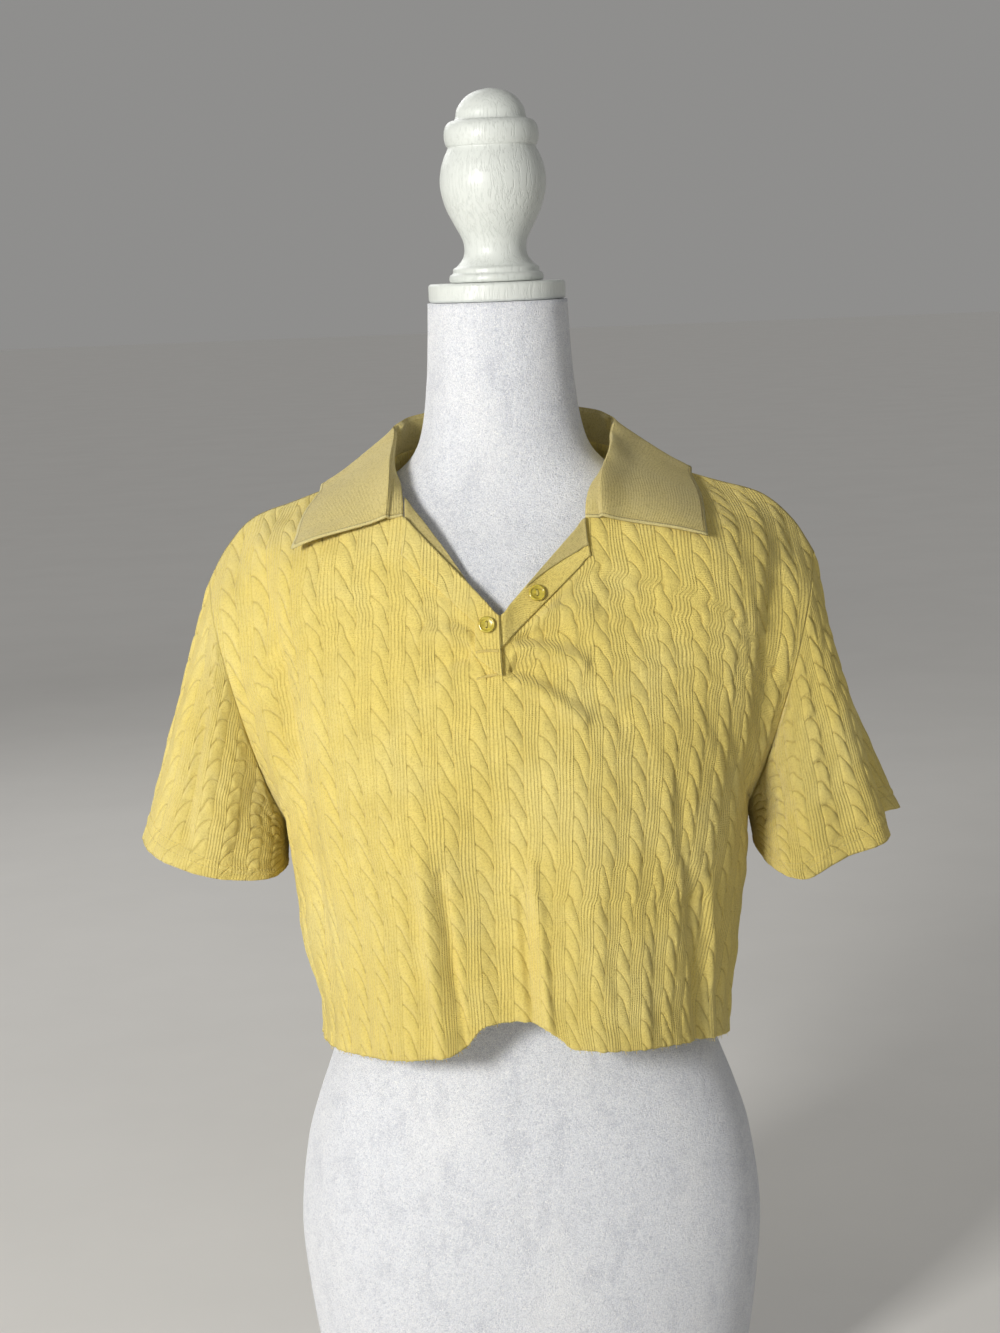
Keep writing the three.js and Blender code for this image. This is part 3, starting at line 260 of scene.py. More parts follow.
# Creases that are finer than the solids' folds.
FRONT_CREASES: tuple[Fold, ...] = (
    (0.9, 25.8, 6.2, 22.9, 3.2, -4.0),
    (1.8, 26.2, 7.2, 23.9, 4.6, 4.6),
    (1.2, 25.0, 5.8, 21.9, 4.2, 6.5),
    (0.7, 24.0, 5.4, 20.7, 3.2, -4.5),
    (4.6, 21.0, 7.4, 19.0, 4.4, -3.2),
    (1.2, 22.8, 5.0, 19.4, 4.8, 6.0),
    (4.2, 25.6, 8.2, 24.3, 4.4, 2.0),
    (-2.4, 24.1, -5.4, 21.8, 3.6, -3.4),
    (-2.6, 24.9, -6.4, 23.0, 4.4, 4.2),
    (-2.6, 23.0, -4.6, 21.0, 4.2, 2.2),
    (-2.5, 25.5, -5.8, 24.4, 3.4, -1.1),
    (-2.4, 23.2, -3.8, 21.6, 4.4, -0.8),
    (-4.1, -1, -4.9, 11, 3.6, -4.2),
    (-5.4, -1, -6.0, 12, 6.0, 5.4),
    (-2.6, -1, -3.0, 7, 6.0, 1.4),
    (0.5, -1, 0.1, 9, 3.2, -3.6),
    (1.6, -1, 1.0, 11, 4.2, 5.2),
    (13.7, -1, 11.7, 9, 5.2, -3.0),
    (11.6, 9, 10.5, 16, 6.0, -1.8),
    (15.2, -1, 13.5, 10, 6.5, 4.2),
    (6.6, -1, 5.6, 9, 6.0, -1.5),
    (8.3, -1, 7.3, 12, 7.0, 1.6),
    (10.2, 10, 9.2, 18, 6.0, 1.3),
    (-18.1, 33, -16.3, 24, 6.5, -1.9),
    (-16.6, 24, -15.2, 15, 7.0, -2.2),
    (-15.3, 14, -14.6, 3, 7.5, -1.8),
    (-13.6, 20, -12.4, 8, 9.0, 1.2),
    (-17.6, 19, -16.8, 8, 7.0, 1.3),
    (19.2, 32, 18.8, 24, 6.0, -1.5),
    (18.6, 23, 17.2, 13, 7.0, -1.3),
    (17.6, 2, 16.9, 12, 6.0, -1.5),
    (-11.5, 0, -10.9, 8, 8.0, -0.8),
    (-15.0, 0, -14.7, 5, 6.0, 0.9),
)
BACK_CREASES: tuple[Fold, ...] = (
    (-18.2, 32, -16.0, 21, 6.5, -1.8),
    (-16.4, 20, -15.0, 9, 7.5, -1.6),
    (18.2, 32, 16.6, 21, 6.5, -1.7),
    (16.5, 20, 15.4, 11, 7.0, -1.5),
    (-12.2, -1, -11.4, 9, 7.0, -1.4),
    (-3.4, -1, -2.2, 11, 6.5, 1.5),
    (-2.2, -1, -1.0, 12, 6.0, -1.6),
    (4.2, -1, 3.8, 9, 7.0, -1.2),
    (13.0, -1, 12.2, 8, 6.0, -1.6),
    (-6.5, 31, 6.8, 30, 8.0, -0.9),
    (-4.5, 28.4, 5.5, 28.0, 9.0, 0.7),
)
SLEEVE_CREASES: dict[str, tuple[Fold, ...]] = {
    "left": (
        (14.6, 1, 13.0, 12, 5.5, -1.5),
        (10.4, 0.5, 10.8, 9, 6.5, -0.9),
        (6.2, 2, 8.2, 12, 6.0, -1.3),
        (17.5, 1, 17.2, 10, 7.0, 0.9),
        (28.0, 1, 29.4, 12, 6.5, -1.3),
        (34.0, 3, 33.0, 12, 7.0, 0.9),
    ),
    "right": (
        (20.6, 1, 21.2, 13, 5.0, -1.9),
        (17.6, 1, 18.2, 13, 6.0, 1.4),
        (5.5, 2, 9.0, 13, 5.5, -1.4),
        (12.6, 1, 12.9, 11, 7.0, -0.8),
        (31.6, 1, 31.0, 13, 6.5, -1.3),
        (26.0, 2, 26.4, 12, 7.0, 1.0),
    ),
}

COLLAR_FALL = Table(
    ("step", "stand", "lean", "reach", "slip"),
    (
        (0, 8, 9, 6.2, 1),
        (4, 13, 4, 5.6, 0.6),
        (8, 23, -5, 4.3, 0),
        (12, 25, -4, 3, 0),
        (16, 25, -4, 2.4, 0),
    ),
)
FORM_POWER = 2.2
NECK_TOP = 825.0
FORM = Table(
    ("z", "half", "front", "back"),
    (
        (0, 140, 84, 92), (3, 147, 90, 98), (10, 151, 93, 102), (58, 160, 97, 108), (110, 167, 100, 113),
        (160, 170, 100, 115), (218, 163, 96, 110), (249, 154, 91, 103), (279, 143, 86, 94), (310, 132, 82, 85),
        (350, 123, 80, 78), (400, 127, 88, 78), (455, 139, 106, 84), (510, 149, 117, 92), (560, 151, 112, 96),
        (600, 158, 101, 97), (635, 170, 87, 90), (655, 174, 75, 75), (668, 165, 65, 62), (680, 143, 57, 54),
        (692, 110, 51, 49), (704, 82, 48, 48), (718, 65, 48, 49), (736, 57, 49, 50), (770, 52, 50, 50),
        (800, 50, 49, 49), (NECK_TOP, 49, 49, 49),
    ),
)


def smooth_step(t: Any) -> Any:
    """A smooth climb from 0 to 1."""
    t = np.clip(t, 0.0, 1.0)
    return t * t * (3 - 2 * t)


def smooth_read(keys: np.ndarray, values: np.ndarray, at: Any) -> Any:
    """A cubic through knots, with slopes from their neighbours.

    Args:
        keys: the knots' places, in order.
        values: a number or a point for each knot.
        at: one place or many.

    Returns:
        The value at each place.
    """
    at = np.clip(np.asarray(at, float), keys[0], keys[-1])
    count = len(keys)
    before = np.maximum(np.arange(count) - 1, 0)
    after = np.minimum(np.arange(count) + 1, count - 1)
    run = (keys[after] - keys[before]).reshape((-1,) + (1,) * (values.ndim - 1))
    slopes = (values[after] - values[before]) / run
    k = np.clip(np.searchsorted(keys, at, side="left") - 1, 0, count - 2)
    span = keys[k + 1] - keys[k]
    t = (at - keys[k]) / span
    if values.ndim > 1:
        t, span = t[..., None], span[..., None]
    return (
        values[k] * (2 * t**3 - 3 * t**2 + 1)
        + slopes[k] * span * (t**3 - 2 * t**2 + t)
        + values[k + 1] * (3 * t**2 - 2 * t**3)
        + slopes[k + 1] * span * (t**3 - t**2)
    )


def unit(vectors: np.ndarray) -> np.ndarray:
    """The vectors at length 1."""
    return vectors / np.maximum(np.linalg.norm(vectors, axis=-1, keepdims=True), 1e-12)


def along_curve(points: np.ndarray, share: float) -> np.ndarray:
    """The point at a share of the length of a centripetal Catmull-Rom curve."""
    ends = np.vstack([2 * points[0] - points[1], points, 2 * points[-1] - points[-2]])
    spans = len(points) - 1

    def place(t: np.ndarray) -> np.ndarray:
        """The curve's points at places from 0 to the number of spans."""
        k = np.minimum(t.astype(int), spans - 1)
        w = (t - k)[:, None]
        p0, p1, p2, p3 = (ends[k + n] for n in range(4))
        d0, d1, d2 = (
            np.sqrt(np.linalg.norm(b - a, axis=1, keepdims=True)) for a, b in ((p0, p1), (p1, p2), (p2, p3))
        )
        t1 = ((p1 - p0) / d0 - (p2 - p0) / (d0 + d1) + (p2 - p1) / d1) * d1
        t2 = ((p2 - p1) / d1 - (p3 - p1) / (d1 + d2) + (p3 - p2) / d2) * d1
        return p1 + t1 * w + (-3 * p1 + 3 * p2 - 2 * t1 - t2) * w**2 + (2 * p1 - 2 * p2 + t1 + t2) * w**3

    stops = np.linspace(0, spans, CURVE_DIVISIONS + 1)
    steps = np.linalg.norm(np.diff(place(stops), axis=0), axis=1)
    lengths = np.concatenate([[0.0], np.cumsum(steps)])
    wanted = np.interp(min(max(share, 0.0), 1.0) * lengths[-1], lengths, stops)
    return place(np.array([wanted]))[0]


def form_level(points: np.ndarray) -> np.ndarray:
    """How far points lie outside the form, in shares of its size at their height."""
    x, y, z = points[..., 0], points[..., 1], points[..., 2]
    depth = np.where(y < 0, FORM.read("front", z), FORM.read("back", z))
    total = (np.abs(x) / FORM.read("half", z)) ** FORM_POWER + (np.abs(y) / depth) ** FORM_POWER
    return total ** (1 / FORM_POWER) - 1


def clear_of_form(points: np.ndarray, clearance: float) -> np.ndarray:
    """The points, moved out along the form's surface normal until they are clear of it."""
    step = 0.5
    points = points.copy()
    for _ in range(CLEARING_PASSES):
        slope = np.stack(
            [form_level(points + step * axis) - form_level(points - step * axis) for axis in np.eye(3)], axis=-1
        ) / (2 * step)
        distance = form_level(points) / np.maximum(np.linalg.norm(slope, axis=-1), 1e-9)
        points += unit(slope) * np.maximum(clearance - distance, 0.0)[..., None]
    return points


def fold_height(folds: Iterable[Fold], column: Any, row: Any, width: float, height: float) -> Any:
    """The height of folds at places on a net.

    Args:
        folds: the folds' paths over the net.
        column: the places' columns.
        row: the places' rows.
        width: the width of a column.
        height: the height of a row.

    Returns:
        The summed height at each place.
    """
    total = np.zeros(np.broadcast(column, row).shape)
    for c0, r0, c1, r1, half_width, rise in folds:
        dx, dy = (c1 - c0) * width, (r1 - r0) * height
        px, py = (column - c0) * width, (row - r0) * height
        along = np.clip((px * dx + py * dy) / (dx * dx + dy * dy), 0, 1)
        away = np.hypot(px - along * dx, py - along * dy)
        phase = FOLD_END_PHASE + along * (1 - 2 * FOLD_END_PHASE)
        fade = FOLD_END_SHARE + (1 - FOLD_END_SHARE) * np.sin(np.pi * phase)
        total = total + rise * fade * np.exp(-((away / half_width) ** 2))
    return total


def ripple(at: Any, seed: int, waves: int = 9, slowest: float = 0.35, fastest: float = 3.0) -> Any:
    """A smooth uneven line about zero, as a sum of sines with seeded phases."""
    rng = np.random.default_rng(seed)
    rates = rng.uniform(slowest, fastest, waves)
    phases = rng.uniform(0, 2 * np.pi, waves)
    weights = rng.uniform(0.4, 1.0, waves)
    total = sum(w * np.sin(r * np.asarray(at) + p) for r, p, w in zip(rates, phases, weights))
    return total / weights.sum()


def drift(u: np.ndarray, v: np.ndarray, seed: int, waves: int = 12) -> np.ndarray:
    """A smooth uneven field about zero over the knit, with waves of 14 to 110 mm."""
    rng = np.random.default_rng(seed)
    total = np.zeros(np.broadcast(u, v).shape)
    for _ in range(waves):
        rate, way, phase = 2 * np.pi / rng.uniform(14, 110), rng.uniform(0, np.pi), rng.uniform(0, 2 * np.pi)
        total += np.sin(rate * (u * np.cos(way) + v * np.sin(way)) + phase)
    return total / math.sqrt(waves)


def girth_point(sign: int, facing: Facing, share: float, z: float) -> np.ndarray:
    """A point of a quarter of the body's girth, from the centre (0) to the side seam (1)."""
    half = GIRTH.read("left" if sign < 0 else "right", z)
    depth = -GIRTH.read("front", z) if facing is Facing.FRONT else GIRTH.read("back", z)
    angle = np.linspace(0, np.pi / 2, GIRTH_SAMPLES + 1)
    x = sign * half * np.sin(angle) ** SQUARENESS
    y = SIDE_Y + (depth - SIDE_Y) * np.abs(np.cos(angle)) ** SQUARENESS
    y[-1] = SIDE_Y
    lengths = np.concatenate([[0.0], np.cumsum(np.hypot(np.diff(x), np.diff(y)))])
    wanted = share * lengths[-1]
    return np.array([np.interp(wanted, lengths, x), np.interp(wanted, lengths, y), z])


def lower_body(facing: Facing, column: float, row: float) -> np.ndarray:
    """A point of the lower body, from the cut hem to the underarm."""
    across = column / HALF_COLUMNS
    hem = HEMS[facing].read("z", across)
    top = UNDERARM_Z + (BUST_ROW_Z - UNDERARM_Z) * (1 - abs(across) ** BUST_ROW_CROWN)
    z = hem + (top - hem) * row / UNDERARM_ROW
    point = girth_point(-1 if column < 0 else 1, facing, abs(across), z)
    if facing is Facing.FRONT:
        point[0] += V_POINT[0] * smooth_step(row / CORNER_ROW) * (1 - abs(across)) ** 2
    return point


def armhole_point(side: Side, facing: Facing, row: float) -> np.ndarray:
    """A point of the armhole, from the underarm to the shoulder's end."""
    if row == UNDERARM_ROW:
        return girth_point(side.sign, facing, 1, UNDERARM_Z)
    if row == ROWS:
        return side.seam_points()[-1]
    grown = smooth_step((row - UNDERARM_ROW) / ARMHOLE_STEPS)
    shift_x, shift_z = side.armhole_shift
    depth = "front" if facing is Facing.FRONT else "back"
    return np.array(
        [
            side.sign * (ARMHOLE.read("x", row) + shift_x * grown),
            ARMHOLE.read(depth, row),
            ARMHOLE.read("z", row) + shift_z * grown,
        ]
    )


def corner_row(facing: Facing, side: Side, column: float) -> np.ndarray:
    """A point of the row at the neck corner's height: the V edge, then the chest."""
    end = armhole_point(side, facing, CORNER_ROW)
    if facing is Facing.BACK:
        blade = [(side.sign * x, y, z) for x, y, z in BLADE_LINE]
        return along_curve(np.vstack([blade, end]), abs(column) / HALF_COLUMNS)
    corner = np.array(side.corner, float)
    if abs(column) <= NECK_COLUMN:
        return V_POINT + (corner - V_POINT) * abs(column) / NECK_COLUMN
    share = (abs(column) - NECK_COLUMN) / (HALF_COLUMNS - NECK_COLUMN)
    return along_curve(np.vstack([corner, side.chest, end]), share)


def top_row(facing: Facing, side: Side, column: float) -> np.ndarray:
    """A point of the top row: the throat or the back neckline, then the shoulder seam."""
    if abs(column) > NECK_COLUMN:
        share = (abs(column) - NECK_COLUMN) / (HALF_COLUMNS - NECK_COLUMN)
        return along_curve(side.seam_points(), share)
    neck = side.seam_points()[0]
    share = abs(column) / NECK_COLUMN
    if facing is Facing.FRONT:
        return THROAT + (neck - THROAT) * share
    angle = share * math.pi / 2
    return np.array(
        [
            neck[0] * math.sin(angle),
            SHOULDER_Y + (BACK_NECK["y"] - SHOULDER_Y) * math.cos(angle),
            neck[2] + (BACK_NECK["z"] - neck[2]) * math.cos(angle),
        ]
    )


def body_column(facing: Facing, column: int) -> np.ndarray:
    """The points of one column of a body panel, from the hem to the top, before its folds."""
    side = LEFT if column < 0 else RIGHT
    rows = np.arange(UNDERARM_ROW + 1, ROWS + 1)
    keys = np.array([LOWER_KNOT_ROW, UNDERARM_ROW, CORNER_ROW, ROWS], float)
    knots = np.array(
        [
            lower_body(facing, column, LOWER_KNOT_ROW),
            lower_body(facing, column, UNDERARM_ROW),
            corner_row(facing, side, column),
            top_row(facing, side, column),
        ]
    )
    upper = smooth_read(keys, knots, rows)
    pull = smooth_step((abs(column) - HALF_COLUMNS + ARMHOLE_PULL_COLUMNS) / ARMHOLE_PULL_COLUMNS)
    if pull > 0:
        edge = np.array(
            [
                lower_body(facing, side.sign * HALF_COLUMNS, LOWER_KNOT_ROW),
                lower_body(facing, side.sign * HALF_COLUMNS, UNDERARM_ROW),
                armhole_point(side, facing, CORNER_ROW),
                armhole_point(side, facing, ROWS),
            ]
        )
        armhole = np.array([armhole_point(side, facing, row) for row in rows])
        upper = upper + pull * (armhole - smooth_read(keys, edge, rows))
    lower = np.array([lower_body(facing, column, row) for row in range(UNDERARM_ROW + 1)])
    return np.vstack([lower, upper])


@dataclass
class Net:
    """A net of points and normals over a piece of cloth; a wrapped net closes on itself."""

    points: np.ndarray
    facing: int
    first: int = 0
    wrapped: bool = False
    normals: np.ndarray = field(default_factory=lambda: np.zeros(0))

    def differences(self, axis: int) -> np.ndarray:
        """Differences between the neighbours of each node along one axis."""
        if axis == 0 and self.wrapped:
            return np.roll(self.points, -1, 0) - np.roll(self.points, 1, 0)
        last = self.points.shape[axis] - 1
        steps = np.arange(last + 1)
        ahead = self.points.take(np.minimum(steps + 1, last), axis)
        return ahead - self.points.take(np.maximum(steps - 1, 0), axis)

    def find_normals(self) -> None:
        """Works out the outward normal at each node."""
        self.normals = unit(np.cross(self.differences(0), self.differences(1))) * -self.facing

    def at(self, column: int, row: int) -> tuple[int, int]:
        """The array index of a column and row."""
        index = column - self.first
        return (index % len(self.points) if self.wrapped else index), row

    def between(self, column: float, row: float) -> tuple[np.ndarray, np.ndarray]:
        """A point and its normal between the nodes."""
        i = min(math.floor(column) - self.first, len(self.points) - 2)
        j = min(math.floor(row), self.points.shape[1] - 2)
        u, v = column - self.first - i, row - j
        found = []
        for grid in (self.points, self.normals):
            low = grid[i, j] + (grid[i + 1, j] - grid[i, j]) * u
            high = grid[i, j + 1] + (grid[i + 1, j + 1] - grid[i, j + 1]) * u
            found.append(low + (high - low) * v)
        return found[0], unit(found[1])

    def refined(self, across: int, along: int) -> "Net":
        """The net with more nodes between its own, on a smooth surface through them."""
        points = refine(refine(self.points, across, 0, self.wrapped), along, 1, False)
        normals = unit(refine(refine(self.normals, across, 0, self.wrapped), along, 1, False))
        return Net(points, self.facing, self.first, self.wrapped, normals)


def refine(grid: np.ndarray, factor: int, axis: int, wrapped: bool) -> np.ndarray:
    """A grid with (factor - 1) smooth values between its own along one axis."""
    grid = np.moveaxis(grid, axis, 0)
    count = len(grid)
    if wrapped:
        keys = np.arange(-2, count + 3, dtype=float)
        values = np.take(grid, np.arange(-2, count + 3) % count, axis=0)
        places = np.arange(count * factor) / factor
    else:
        keys = np.arange(count, dtype=float)
        values = grid
        places = np.arange((count - 1) * factor + 1) / factor
    flat = values.reshape(len(values), -1)
    read = smooth_read(keys, flat, places).reshape((len(places),) + grid.shape[1:])
    return np.moveaxis(read, 0, axis)


class Pattern:
    """The shape of the whole top, as nets of its pieces in millimetres."""

    def __init__(self) -> None:
        """Lays out the body, joins its seams, and hangs the sleeves on it."""
        self.front = self.body(Facing.FRONT, FRONT_FOLDS)
        self.back = self.body(Facing.BACK, BACK_FOLDS)
        self.settle_seams()
        self.sleeves = {side.name: self.sleeve(side) for side in SIDES}

    @staticmethod
    def body(facing: Facing, folds: tuple[Fold, ...]) -> Net:
        """One body panel with its folds, clear of the form."""
        columns = np.arange(-HALF_COLUMNS, HALF_COLUMNS + 1)
        net = Net(np.array([body_column(facing, c) for c in columns]), facing.value, -HALF_COLUMNS)
        net.find_normals()
        column, row = np.meshgrid(columns, np.arange(ROWS + 1), indexing="ij")
        calm = smooth_step((HALF_COLUMNS - np.abs(column)) / SIDE_SEAM_CALM)
        height = fold_height(folds, column, row, COLUMN_WIDTH, ROW_HEIGHT) * calm
        net.points = clear_of_form(net.points + net.normals * height[..., None], FORM_CLEARANCE)
        return net

    def settle_seams(self) -> None:
        """Gives both panels the normals and half of the gap at the side and shoulder seams."""
        ends = []
        for sign in (-1, 1):
            sides = [(sign * HALF_COLUMNS, row) for row in range(UNDERARM_ROW + 1)]
            tops = [(sign * k, ROWS) for k in range(NECK_COLUMN, HALF_COLUMNS + 1)]
            ends += [(sides, (sign, 0, 0)), (tops, (0.3 * sign, 0, 1))]
        for nodes, outwards in ends:
            for net in (self.front, self.back):
                line = np.array([net.points[net.at(*node)] for node in nodes])
                run = Net(line[:, None], 1).differences(0)[:, 0]
                normals = unit(np.stack([-run[:, 2], np.zeros(len(run)), run[:, 0]], axis=-1))
                normals *= np.sign(normals @ np.array(outwards, float))[:, None]
                for node, normal in zip(nodes, normals):
                    net.normals[net.at(*node)] = normal
        for nodes, _ in ends:
            for node in nodes:
                front, back = self.front.at(*node), self.back.at(*node)
                seam = (self.front.points[front] + self.back.points[back]) / 2
                self.front.points[front] = seam - (0, SEAM_GAP / 2, 0)
                self.back.points[back] = seam + (0, SEAM_GAP / 2, 0)

    def sleeve(self, side: Side) -> Net:
        """A sleeve from the armhole to the cuff, with its seam settled on the body panels."""
        column = side.sign * HALF_COLUMNS
        steps = np.arange(LOOP_STEPS)
        climb = np.where(steps <= ARMHOLE_STEPS, steps, LOOP_STEPS - steps)
        is_front = (steps > 0) & (steps < ARMHOLE_STEPS)
        corners = (steps == 0) | (steps == ARMHOLE_STEPS)
        beside = smooth_step(1 - np.minimum(steps, LOOP_STEPS - steps) / UNDERARM_TURN)
        seam, inner = np.zeros((LOOP_STEPS, 3)), np.zeros((LOOP_STEPS, 3))
        for n in steps:
            panel = self.front if is_front[n] else self.back
            row = UNDERARM_ROW + climb[n]
            seam[n] = panel.points[panel.at(column, row)]
            inner[n] = panel.points[panel.at(column - side.sign, row)]
        seam[corners, 1] -= SEAM_GAP / 2
        seam[:, 0] += side.sign * beside * UNDERARM_APART
        net = self.hang(side, seam)
        tangent = unit(np.roll(seam, -1, 0) - np.roll(seam, 1, 0))
        across = unit(seam - inner) + unit(net.points[:, 1] - seam)
        across = unit(across - tangent * (across * tangent).sum(1, keepdims=True))
        normal = unit(np.cross(tangent, across))
        normal *= np.where((normal * net.normals[:, 1]).sum(1, keepdims=True) < 0, -1, 1)
        across[corners, 1] = 0
        normal[corners, 1] = 0
        across, normal = unit(across), unit(normal)
        half = ((1 - beside) * SEAM_GAP / 2)[:, None]
        net.points[:, 0] += across * half
        for n in steps:
            net.normals[n, 0] = unit(normal[n] + (net.normals[n, 0] - normal[n]) * beside[n])
            panels = [self.front, self.back] if corners[n] else [self.front if is_front[n] else self.back]
            for panel in panels:
                node = panel.at(column, UNDERARM_ROW + climb[n])
                panel.points[node] -= across[n] * half[n]
                panel.normals[node] = unit(normal[n] + (panel.normals[node] - normal[n]) * beside[n])
        return net

    @staticmethod
    def hang(side: Side, seam: np.ndarray) -> Net:
        """The sleeve's net between its seam and its cuff, with its folds."""
        rows = side.cuff.rows
        keys = np.array([rows[-1][0] - LOOP_STEPS, *side.cuff.column("step"), LOOP_STEPS, rows[1][0] + LOOP_STEPS])
        loop = np.array([row[1:] for row in (rows[-1], *rows, rows[0], rows[1])], float)
        cuff = smooth_read(keys, loop, np.arange(LOOP_STEPS))
        share = (np.arange(SLEEVE_ROWS + 1) / SLEEVE_ROWS)[None, :, None]
        net = Net(seam[:, None] * (1 - share) + cuff[:, None] * share, side.sign, wrapped=True)
        net.find_normals()
        step, row = np.meshgrid(np.arange(LOOP_STEPS), np.arange(SLEEVE_ROWS + 1), indexing="ij")
        calm = smooth_step(row / SLEEVE_ROWS / SLEEVE_CALM_SHARE)
        calm = calm * smooth_step(np.minimum(step, LOOP_STEPS - step) / SLEEVE_CALM_STEPS)
        height = fold_height(SLEEVE_FOLDS[side.name], step, row, SLEEVE_STEP_WIDTH, SLEEVE_ROW_HEIGHT) * calm
        net.points = net.points + net.normals * height[..., None]
        net.find_normals()
        return net


@dataclass
class CollarPattern:
    """The collar's net: a stand, a roll and a fall round the neckline."""

    pattern: Pattern
    thickness: float = 1.6
    lift: float = 1.7
    corner_inset: float = 0.1
    stand_steps: int = 2
    roll_steps: int = 3
    fall_steps: int = 4
    roll_radius: float = 3.2
    back_turn_step: float = 8
    back_turn_length: float = 4
    back_turn_haste: float = 1.3
    upright_step: float = 2
    upright_length: float = 6
    direction_share: float = 0.4
    fall_power: float = 1.3
    drift_power: float = 5
    lowest_roll: float = 0.6

    def neckline(self) -> list[tuple[Net, int, int, int]]:
        """The stops of the neckline, from the left front corner round the back to the right."""
        front, back = self.pattern.front, self.pattern.back
        stops = [(front, -NECK_COLUMN, row, -1) for row in range(CORNER_ROW, ROWS + 1)]
        stops += [(back, column, ROWS, 0) for column in range(-NECK_COLUMN + 1, NECK_COLUMN)]
        return stops + [(front, NECK_COLUMN, row, 1) for row in range(ROWS, CORNER_ROW - 1, -1)]

    def under(self, stop: tuple[Net, int, int, int], share: float, from_corner: int) -> tuple[np.ndarray, np.ndarray]:
        """The place on the body under a share of the fall.

        Args:
            stop: the stop of the neckline that the fall starts from.
            share: the share of the fall.
            from_corner: the stop's number of steps from the nearer front corner.

        Returns:
            The point and the normal there.
        """
        net, column, row, way = stop
        reach = COLLAR_FALL.read("reach", from_corner)
        if way:
            slip = COLLAR_FALL.read("slip", from_corner) * share
            return net.between(column + way * reach * share, min(ROWS, row + slip))
        turn = smooth_step((from_corner - self.back_turn_step) / self.back_turn_length)
        sideways = (1 if column >= 0 else -1) * (1 - turn) * reach * share
        down = reach * share * min(1.0, turn * self.back_turn_haste)
        return net.between(float(np.clip(column + sideways, -HALF_COLUMNS, HALF_COLUMNS)), ROWS - down)

    def section(self, stop: tuple[Net, int, int, int], from_corner: int) -> np.ndarray:
        """The collar's section at one stop, from the seam over the roll to the outer edge."""
        net, column, row, _ = stop
        lowest = WALL + CABLE_RISE + self.lift + self.thickness
        point, normal = net.points[net.at(column, row)], net.normals[net.at(column, row)]
        if from_corner == 0:
            point = point + (net.points[net.at(column, row + 1)] - point) * self.corner_inset
        upright = smooth_step((from_corner - self.upright_step) / self.upright_length)
        rise = unit(normal + (np.array([0, 0, 1.0]) - normal) * upright)
        out = self.under(stop, self.direction_share, from_corner)[0] - point
        out = unit(out - rise * (out @ rise))
        seat = point + normal * (WALL + SEAM_GAP)
        top = max(COLLAR_FALL.read("stand", from_corner), lowest + self.lowest_roll) - WALL - SEAM_GAP
        lean = COLLAR_FALL.read("lean", from_corner)
        section = []
        for k in range(self.stand_steps + 1):
            share = k / self.stand_steps
            section.append(seat + rise * (top - self.roll_radius) * share + out * lean * share)
        for k in range(1, self.roll_steps):
            angle = k / self.roll_steps * math.pi / 2
            climb = top - self.roll_radius * (1 - math.sin(angle))
            section.append(seat + rise * climb + out * (lean + self.roll_radius * (1 - math.cos(angle))))
        start_point, start_normal = self.under(stop, 0, from_corner)
        apex = seat + rise * top + out * (lean + self.roll_radius)
        drift = apex - start_point - start_normal * lowest
        climb = drift @ rise
        drift = drift - rise * climb
        for k in range(self.fall_steps + 1):
            share = k / self.fall_steps
            place, up = self.under(stop, share, from_corner)
            fallen = rise * climb * (1 - share) ** self.fall_power + drift * (1 - share) ** self.drift_power
            section.append(place + up * lowest + fallen)
        return np.array(section)

    def net(self) -> Net:
        """The collar's outer face."""
        stops = self.neckline()
        last = len(stops) - 1
        net = Net(np.array([self.section(stop, min(n, last - n)) for n, stop in enumerate(stops)]), -1)
        net.find_normals()
        for n, (cloth, column, row, _) in enumerate(stops):
            under = cloth.normals[cloth.at(column, row)]
            net.normals[n, 0] = unit(net.normals[n, 0] - under * (net.normals[n, 0] @ under))
        return net


@dataclass(frozen=True)
class CableKnit:
    """The cable jersey: rope cables with fine ribs between them.

    Every length is in millimetres of the knit itself: u runs across the wales and v up along them.
    """

    pitch: float = 23.4
    half_width: float = 5.7
    cell: float = 18.6
    drop: float = 19.0
    sweep: float = 1.6
    groove: float = 0.9
    groove_depth: float = 0.75
    ditch: float = 0.9
    ditch_depth: float = 0.22
    crown: float = 0.95
    ribs: int = 5

    def relief(self, u: np.ndarray, v: np.ndarray) -> np.ndarray:
        """The height of the cables over the plain wall at places of the knit."""
        x = (np.mod(u / self.pitch + 0.5, 1.0) - 0.5) * self.pitch
        across = np.clip((x + self.half_width) / (2 * self.half_width), 0, 1)
        part = np.mod((v + self.drop * across**self.sweep) / self.cell, 1.0)
        strand = 0.3 + 0.7 * np.sin(np.pi * part) ** 0.75
        envelope = np.clip(1 - (np.abs(x) / (self.half_width + 0.4)) ** 2.6, 0, 1) ** 0.6
        slope = 1 / np.hypot(1, self.drop * self.sweep * across ** (self.sweep - 1) / (2 * self.half_width))
        apart = np.minimum(part, 1 - part) * self.cell * slope
        groove = self.groove_depth * np.exp(-((apart / self.groove) ** 2)) * np.minimum(envelope * 2, 1)
        ditch = self.ditch_depth * np.exp(-(((np.abs(x) - self.half_width - 0.2) / self.ditch) ** 2))
        return self.crown * envelope * strand - groove - ditch


